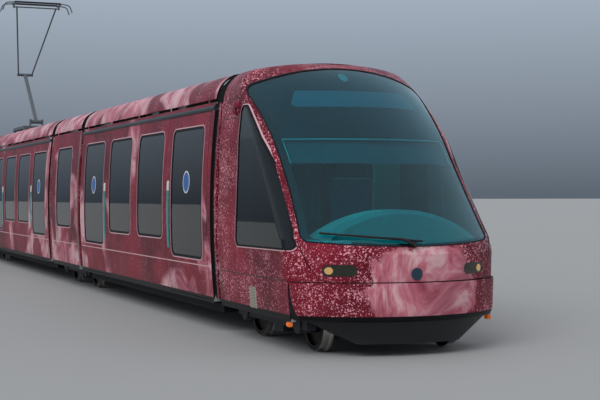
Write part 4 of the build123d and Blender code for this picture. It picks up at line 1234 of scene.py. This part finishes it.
class TRAM_OT_windscreen(bpy.types.Operator):
    """Sets the header, blank display, blind and dark border behind the glass, and its seals"""

    bl_idname = "tram.windscreen"
    bl_label = "Windscreen"

    def execute(self, context):
        header = moulded_plastic("blue_black_header", "#1A2533", 0.35)
        display = moulded_plastic("blank_display_glass", "#4F93A4", 0.3)
        blind = moulded_plastic("teal_sun_blind", "#35747C", 0.6)
        # A rail round the blind, its bright pale teal a painted highlight along the blind's top and
        # sides
        blind_rail_highlight = moulded_plastic("teal_blind_rail", "#5FE0D4", 0.35)
        border = moulded_plastic("baked_black_border", "#0C1015", 0.25)
        lens = moulded_plastic("pale_signal_lens", "#C9D6D2", 0.3)
        edge = screen_outline(0.005)
        above = dense(cut_outline(edge, HEADER_FOOT, True), 0.05)
        forms = [(sheet_form(above, (0, 2.6), cab_front, (0.022, 0.028)), 0)]
        sides = [dense_line(a, b) for a, b in zip(DISPLAY, DISPLAY[1:] + DISPLAY[:1])]
        blank = rounded(sides, (DISPLAY_RADIUS,) * 4)
        forms.append((sheet_form(blank, DISPLAY_AT, cab_front, STUCK_ON), 1))
        within = cut_outline(cut_outline(screen_outline(0.075), BLIND_FOOT, True), HEADER_FOOT, False)
        within = dense(within, 0.05)
        forms.append((sheet_form(within, (0, 2.05), cab_front, (0.05, 0.053)), 2))
        # The blind's rail, bright as a painted highlight
        framed = [(y * 0.984, min(z, HEADER_FOOT - 0.014)) for y, z in within]
        forms.append((ring_form(within, framed, cab_front, STUCK_ON), 3))
        signal = circle(*SIGNAL_AT, SIGNAL_RADIUS, 24)
        forms.append((sheet_form(signal, SIGNAL_AT, cab_front, STUCK_ON), 4))
        paints = [header, display, blind, blind_rail_highlight, lens]
        add_to_modules(CABS, "header_panel", forms, paints)

        outer = screen_outline(0.003)
        inner = []
        for y, z in outer:
            low, high = max(0, 1 - (z - SCREEN_MIDDLES[0][1]) / 0.4), max(0, (z - 2.4) / 0.6)
            inner.append((y * 0.925, z + 0.016 * low - 0.03 * high))
        borders = [ring_form(outer, inner, cab_front, BORDER)]
        pane = cab_window_outline()
        clear = grown(pane, -0.003)
        narrow = [(max(x, CAB_WINDOW[0][0] + 0.085), z) for x, z in grown(pane, -0.03)]
        seals, lines = [], []
        for side in (-1, 1):
            def at(x, z, depth, side=side):
                return cab_side(x, z, side, depth)
            borders.append(ring_form(clear, narrow, at, BORDER))
            seals.append(ring_form(grown(pane, 0.02), pane, at, (-0.003, 0.006)))
            # The pale line round the cab's side pane: trim, partly a painted highlight along the
            # pillar's edge
            lines.append(ring_form(grown(pane, 0.031), grown(pane, 0.02), at, (-0.002, 0.003)))
        add_to_modules(CABS, "glass_border", borders, [border])
        around, under = screen_outline(-0.009), screen_outline(0.004)
        seals.append(ring_form(around, under, cab_front, (-0.001, 0.0035)))
        rubber, pale = [bpy.data.materials[name] for name in ("black_window_seal", "pale_enamel_trim")]
        add_to_modules(CABS, "cab_window_seals", seals, [rubber])
        add_to_modules(CABS, "cab_window_trims", lines, [pale])
        return {"FINISHED"}


def headlamp_forms(side):
    """A lamp in its pocket: the tray, the lit bulb and its reflector."""
    middle = (side * LAMP_AT[0], LAMP_AT[1])
    floor, gap = POCKET_DEPTH - 0.0005, 0.002
    x, z = span(middle[0], LAMP_LENGTH - 2 * gap), span(middle[1], LAMP_HEIGHT - 2 * gap)
    tray = dense(rounded_outline(x, z, LAMP_RADIUS - gap, 8), 0.03)
    bulb = (middle[0] + side * BULB_AT[0], middle[1] + BULB_AT[1])
    lit, bowl = [circle(*bulb, radius) for radius in BULB_RADII]
    return [
        (sheet_form(tray, middle, cab_front, (floor - 0.0025, floor)), 0),
        (sheet_form(lit, bulb, cab_front, (0.0115, floor - 0.003)), 1),
        (ring_form(bowl, lit, cab_front, (0.0105, floor - 0.003)), 2),
    ]


def wiper_forms(length):
    """The wiper's blade with its spine, the arm and the spindle's hub."""
    steps = [(BLADE_END[0] + length * k / 12, BLADE_END[1] - BLADE_DROP * k / 12) for k in range(13)]
    blade = [cab_front(y, z, -0.018) for y, z in steps]
    spine = [cab_front(y, z, -0.034) for y, z in steps[1:-1]]
    knuckle, tip = cab_front(*SPINDLE_AT, -0.03), cab_front(*steps[6], -0.045)
    arm = [knuckle, knuckle.lerp(tip, 0.35) + Vector((0.012, 0, 0.03)), tip]
    hub = [(0, -0.03), (0.028, -0.03), (0.028, 0.012), (0.02, 0.02), (0, 0.02)]
    return [
        tube_form(blade, 0.012, 8), tube_form(spine, 0.009, 6),
        tube_form(arm, [0.02, 0.015, 0.01], 8), lathe_form(hub, knuckle, (1, 0, 0.4), 24),
    ]


def louvre_forms(side):
    """A louvre in the cab's skirt: its black field, a painted shade over the slots between the slats,
    two posts and the slats.
    """
    x, z = LOUVRE
    # Black sheet over the slots: painted shade behind the slats
    forms = [(cab_strip_form(x, z, side, (-0.001, 0.004), 4), 1)]
    inside = (x[0] + LOUVRE_FRAME - LOUVRE_EDGE, x[1] - LOUVRE_FRAME + LOUVRE_EDGE)
    tall = (z[0] - LOUVRE_EDGE, z[1] + LOUVRE_EDGE)
    for post in ((x[0] - LOUVRE_EDGE, inside[0]), (inside[1], x[1] + LOUVRE_EDGE)):
        forms.append((cab_strip_form(post, tall, side, (-0.004, 0.003), 1), 0))
    for k in range(SLATS):
        foot = z[0] - 0.002 + SLAT_PITCH * k
        slat = cab_strip_form(inside, (foot, foot + SLAT_HEIGHT), side, (-0.003, 0.002), 1)
        forms.append((slat, 0))
    return forms


def camera_pod_forms(side):
    """A low dome on the cab's shoulder with a small dark lens facing forwards."""
    at = cab_side(*POD_AT, side)
    dome = [
        (0, -0.03), (0.085, -0.03), (0.085, 0.004), (0.078, 0.022), (0.062, 0.036),
        (0.036, 0.046), (0, 0.05),
    ]
    lens = [(0, 0), (0.022, 0), (0.02, 0.012), (0, 0.016)]
    eye = at + Vector((0.058, side * 0.03, -0.015))
    return [
        (lathe_form(dome, at, (0, side, 0.1)), 0),
        (lathe_form(lens, eye, (0.75, side * 0.6, -0.2), 24), 1),
    ]


class TRAM_OT_cab_fittings(bpy.types.Operator):
    """Adds the headlamps, wiper, seams, louvres, camera pods and marker lamps"""

    bl_idname = "tram.cab_fittings"
    bl_label = "Cab fittings"

    def execute(self, context):
        plastic = moulded_plastic("moulded_black_trim", "#121214", 0.4)
        tray = moulded_plastic("smoked_lamp_tray", "#6E766C", 0.3)
        lamp = glow("warm_lamp", "#FFCF92", 1.1)
        chrome = metal("chromed_reflector", "#D9DBDD", 0.12)
        lamps = headlamp_forms(-1) + headlamp_forms(1)
        add_to_modules(CABS, "headlamps", lamps, [tray, lamp, chrome])

        cap = sheet_form(circle(*CAP_AT, CAP_RADIUS), CAP_AT, cab_front, (-0.004, 0.003))
        slate = moulded_plastic("slate_blue_cap", "#1F3A48", 0.3)
        add_to_modules(CABS, "centre_cap", [cap], [slate])
        wiper = wiper_forms(context.scene.tram_sizes.wiper)
        add_to_modules(CABS, "wiper", wiper, [plastic])

        slats = powder_coat("pale_grey_louvre", "#ADA79A", 0.5)
        amber = glow("amber_marker_lens", "#E8741C", 0.15)
        seams, louvres, markers, pods = [], [], [], []
        for side in (-1, 1):
            seams.append(cab_strip_form(*WAIST_SEAM, side, SEAM_DEPTHS))
            for height in EAVES_SEAMS_AT:
                seam = span(height, SEAM_WIDTH)
                seams.append(cab_strip_form(EAVES_SEAM, seam, side, SEAM_DEPTHS, 4))
            louvres += louvre_forms(side)
            x, y, z = MARKER
            across = sorted((side * y[0], side * y[1]))
            markers.append(block_form(x, across, (up(z[0]), up(z[1])), 0.008))
            pods += camera_pod_forms(side)
        add_to_modules(CABS, "cab_seams", seams, [plastic])
        add_to_modules(CABS, "louvres", louvres, [slats, plastic])
        add_to_modules(CABS, "marker_lamps", markers, [amber])
        paint = bpy.data.materials["flaked_enamel_cab"]
        add_to_modules(CABS, "camera_pods", pods, [paint, plastic])
        return {"FINISHED"}


# Running gear

class TRAM_OT_running_gear(bpy.types.Operator):
    """Paints the bogies and the wheels with their bright treads"""

    bl_idname = "tram.running_gear"
    bl_label = "Running gear"

    def execute(self, context):
        frame_paint = powder_coat("dark_grey_bogie_paint", "#2A2C30", 0.6)
        cast = metal("oily_cast_wheel", "#3B3733", 0.62, 14, 0.8, 0.3)
        tread = metal("rolled_bright_tread", "#A9A6A1", 0.25, 4, 0.1, 0.12)
        for name in frame["nodes"]:
            if name.startswith("bogie"):
                dress(name, [frame_paint])
            elif name.startswith("wheel"):
                low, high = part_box(name)
                hub = (low + high) / 2
                def choose(middle, normal, hub=hub):
                    out = sqrt((middle.x - hub.x) ** 2 + (middle.z - hub.z) ** 2)
                    return 1 if out > TREAD_FROM and abs(normal.y) < 0.9 else 0
                dress(name, [cast, tread], choose)
        return {"FINISHED"}


class TRAM_OT_pantograph(bpy.types.Operator):
    """Paints the current collector and fits the sheds of its insulators"""

    bl_idname = "tram.pantograph"
    bl_label = "Pantograph"

    def execute(self, context):
        sides = context.scene.tram_sizes.sides
        paint = powder_coat("grey_collector_paint", "#5C6066", 0.4)
        carbon = moulded_plastic("pressed_carbon_strip", "#1A1A1C", 0.55, 4)
        for part in ("base", "lower_arm", "upper_arm"):
            dress(f"pantograph_{part}", [paint])
        dress("pantograph_head", [paint, carbon], lambda middle, normal: (
            1 if middle.z > up(STRIP_FOOT) and abs(middle.y) < STRIP_HALF else 0
        ))
        profile = [(0.046, 0)]
        for step in range(SHEDS):
            z = 0.04 + step * SHED_PITCH
            profile += [(0.05, z), (0.078, z + 0.008), (0.078, z + 0.014), (0.05, z + 0.026)]
        profile += [(0.046, INSULATOR_HEIGHT), (0.044, INSULATOR_HEIGHT), (0.044, 0)]
        sheds = []
        low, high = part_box("pantograph_base")
        for x in (low.x + INSULATOR_AT[0], high.x - INSULATOR_AT[0]):
            for y in (-INSULATOR_AT[1], INSULATOR_AT[1]):
                sheds.append(lathe_form(profile, (x, y, up(EAVES)), (0, 0, 1), sides))
        silicone = moulded_plastic("moulded_grey_silicone", "#6E5A52", 0.35)
        mesh = make_mesh("insulator_sheds", sheds, [silicone])
        add_piece("insulator_sheds", mesh, "short_2")
        return {"FINISHED"}


class TRAM_OT_stage(bpy.types.Operator):
    """Sets the floor, the soft light and the camera"""

    bl_idname = "tram.stage"
    bl_label = "Stage"

    def execute(self, context):
        scene = context.scene
        floor, size = bpy.data.meshes.new("floor"), 400
        corners = [(-size, -size, 0), (size, -size, 0), (size, size, 0), (-size, size, 0)]
        floor.from_pydata(corners, [], [(0, 1, 2, 3)])
        pale, shader = new_material("pale_matt_floor", linear("#A9A9A8"), 0.85)
        grain(pale, shader, 400, 0.5, shade=0.02)
        floor.materials.append(pale)
        ground = bpy.data.objects.new("floor", floor)
        scene.collection.objects.link(ground)

        world = bpy.data.worlds.new("studio")
        world.use_nodes = True
        scene.world = world
        world.node_tree.nodes.clear()
        height = add_node(world, "SeparateXYZ", {0: add_node(world, "TexCoord")["Generated"]})[2]
        horizon, above = (0, linear("#5C6671")), (0.2, linear("#B3BFCE"))
        sky = add_node(world, "ValToRGB", {0: height}, stops=[horizon, above])[0]
        seen = add_node(world, "Background", {0: sky, 1: 1.0})[0]
        light = add_node(world, "Background", {0: linear("#E9EEF5"), 1: 0.62})[0]
        ray = add_node(world, "LightPath")
        through = add_node(
            world, "Math", {0: ray["Is Camera Ray"], 1: ray["Is Transmission Ray"]}, operation="MAXIMUM"
        )[0]
        either = add_node(world, "Math", {0: through, 1: ray["Is Glossy Ray"]}, operation="MAXIMUM")[0]
        mix = add_node(world, "MixShader", {0: either, 1: light, 2: seen})[0]
        add_node(world, "OutputWorld", {0: mix})

        sun = bpy.data.lights.new("key", "SUN")
        sun.energy, sun.angle = 1.5, radians(40)
        lamp = bpy.data.objects.new("key", sun)
        lamp.rotation_euler = Vector((-0.55, 0.62, -0.75)).to_track_quat("-Z", "Y").to_euler()
        lamp.visible_glossy = False
        scene.collection.objects.link(lamp)

        camera = bpy.data.cameras.new("camera")
        camera.sensor_width = 36
        camera.lens = FOCAL_PIXELS / PICTURE[0] * camera.sensor_width
        camera.clip_end = 600
        eye = bpy.data.objects.new("camera", camera)
        eye.location = (CAMERA_AT[0], CAMERA_AT[1], up(CAMERA_AT[2]))
        turn, dip = radians(CAMERA_TURN), atan((PICTURE[1] / 2 - HORIZON_ROW) / FOCAL_PIXELS)
        ahead = Vector((-cos(turn) * cos(dip), sin(turn) * cos(dip), -sin(dip)))
        eye.rotation_euler = ahead.to_track_quat("-Z", "Y").to_euler()
        scene.collection.objects.link(eye)
        scene.camera = eye
        scene.view_settings.view_transform = "Standard"
        return {"FINISHED"}


OPERATORS = (
    TRAM_OT_stage, TRAM_OT_bodies, TRAM_OT_glass, TRAM_OT_interior, TRAM_OT_gangways,
    TRAM_OT_side_fittings, TRAM_OT_windscreen, TRAM_OT_cab_fittings, TRAM_OT_running_gear,
    TRAM_OT_pantograph,
)


class TRAM_PT_panel(bpy.types.Panel):
    """Lists the tram's sizes, colours and steps"""

    bl_idname = "TRAM_PT_panel"
    bl_label = "Tram"
    bl_space_type = "VIEW_3D"
    bl_region_type = "UI"
    bl_category = "Tram"

    def draw(self, context):
        for group in (context.scene.tram_sizes, context.scene.tram_colours):
            box = self.layout.box()
            for name in group.__annotations__:
                box.prop(group, name)
        for operator in OPERATORS:
            self.layout.operator(operator.bl_idname)


CLASSES = (TramSizes, TramColours) + OPERATORS + (TRAM_PT_panel,)


def register():
    """Adds the tram's settings, operators and panel to Blender."""
    for item in CLASSES:
        bpy.utils.register_class(item)
    bpy.types.Scene.tram_sizes = bpy.props.PointerProperty(type=TramSizes)
    bpy.types.Scene.tram_colours = bpy.props.PointerProperty(type=TramColours)


def unregister():
    """Takes them out again."""
    del bpy.types.Scene.tram_colours
    del bpy.types.Scene.tram_sizes
    for item in reversed(CLASSES):
        bpy.utils.unregister_class(item)


def main():
    """Makes every piece in order."""
    register()
    for operator in OPERATORS:
        group, name = operator.bl_idname.split(".")
        getattr(getattr(bpy.ops, group), name)()


if __name__ == "__main__":
    main()
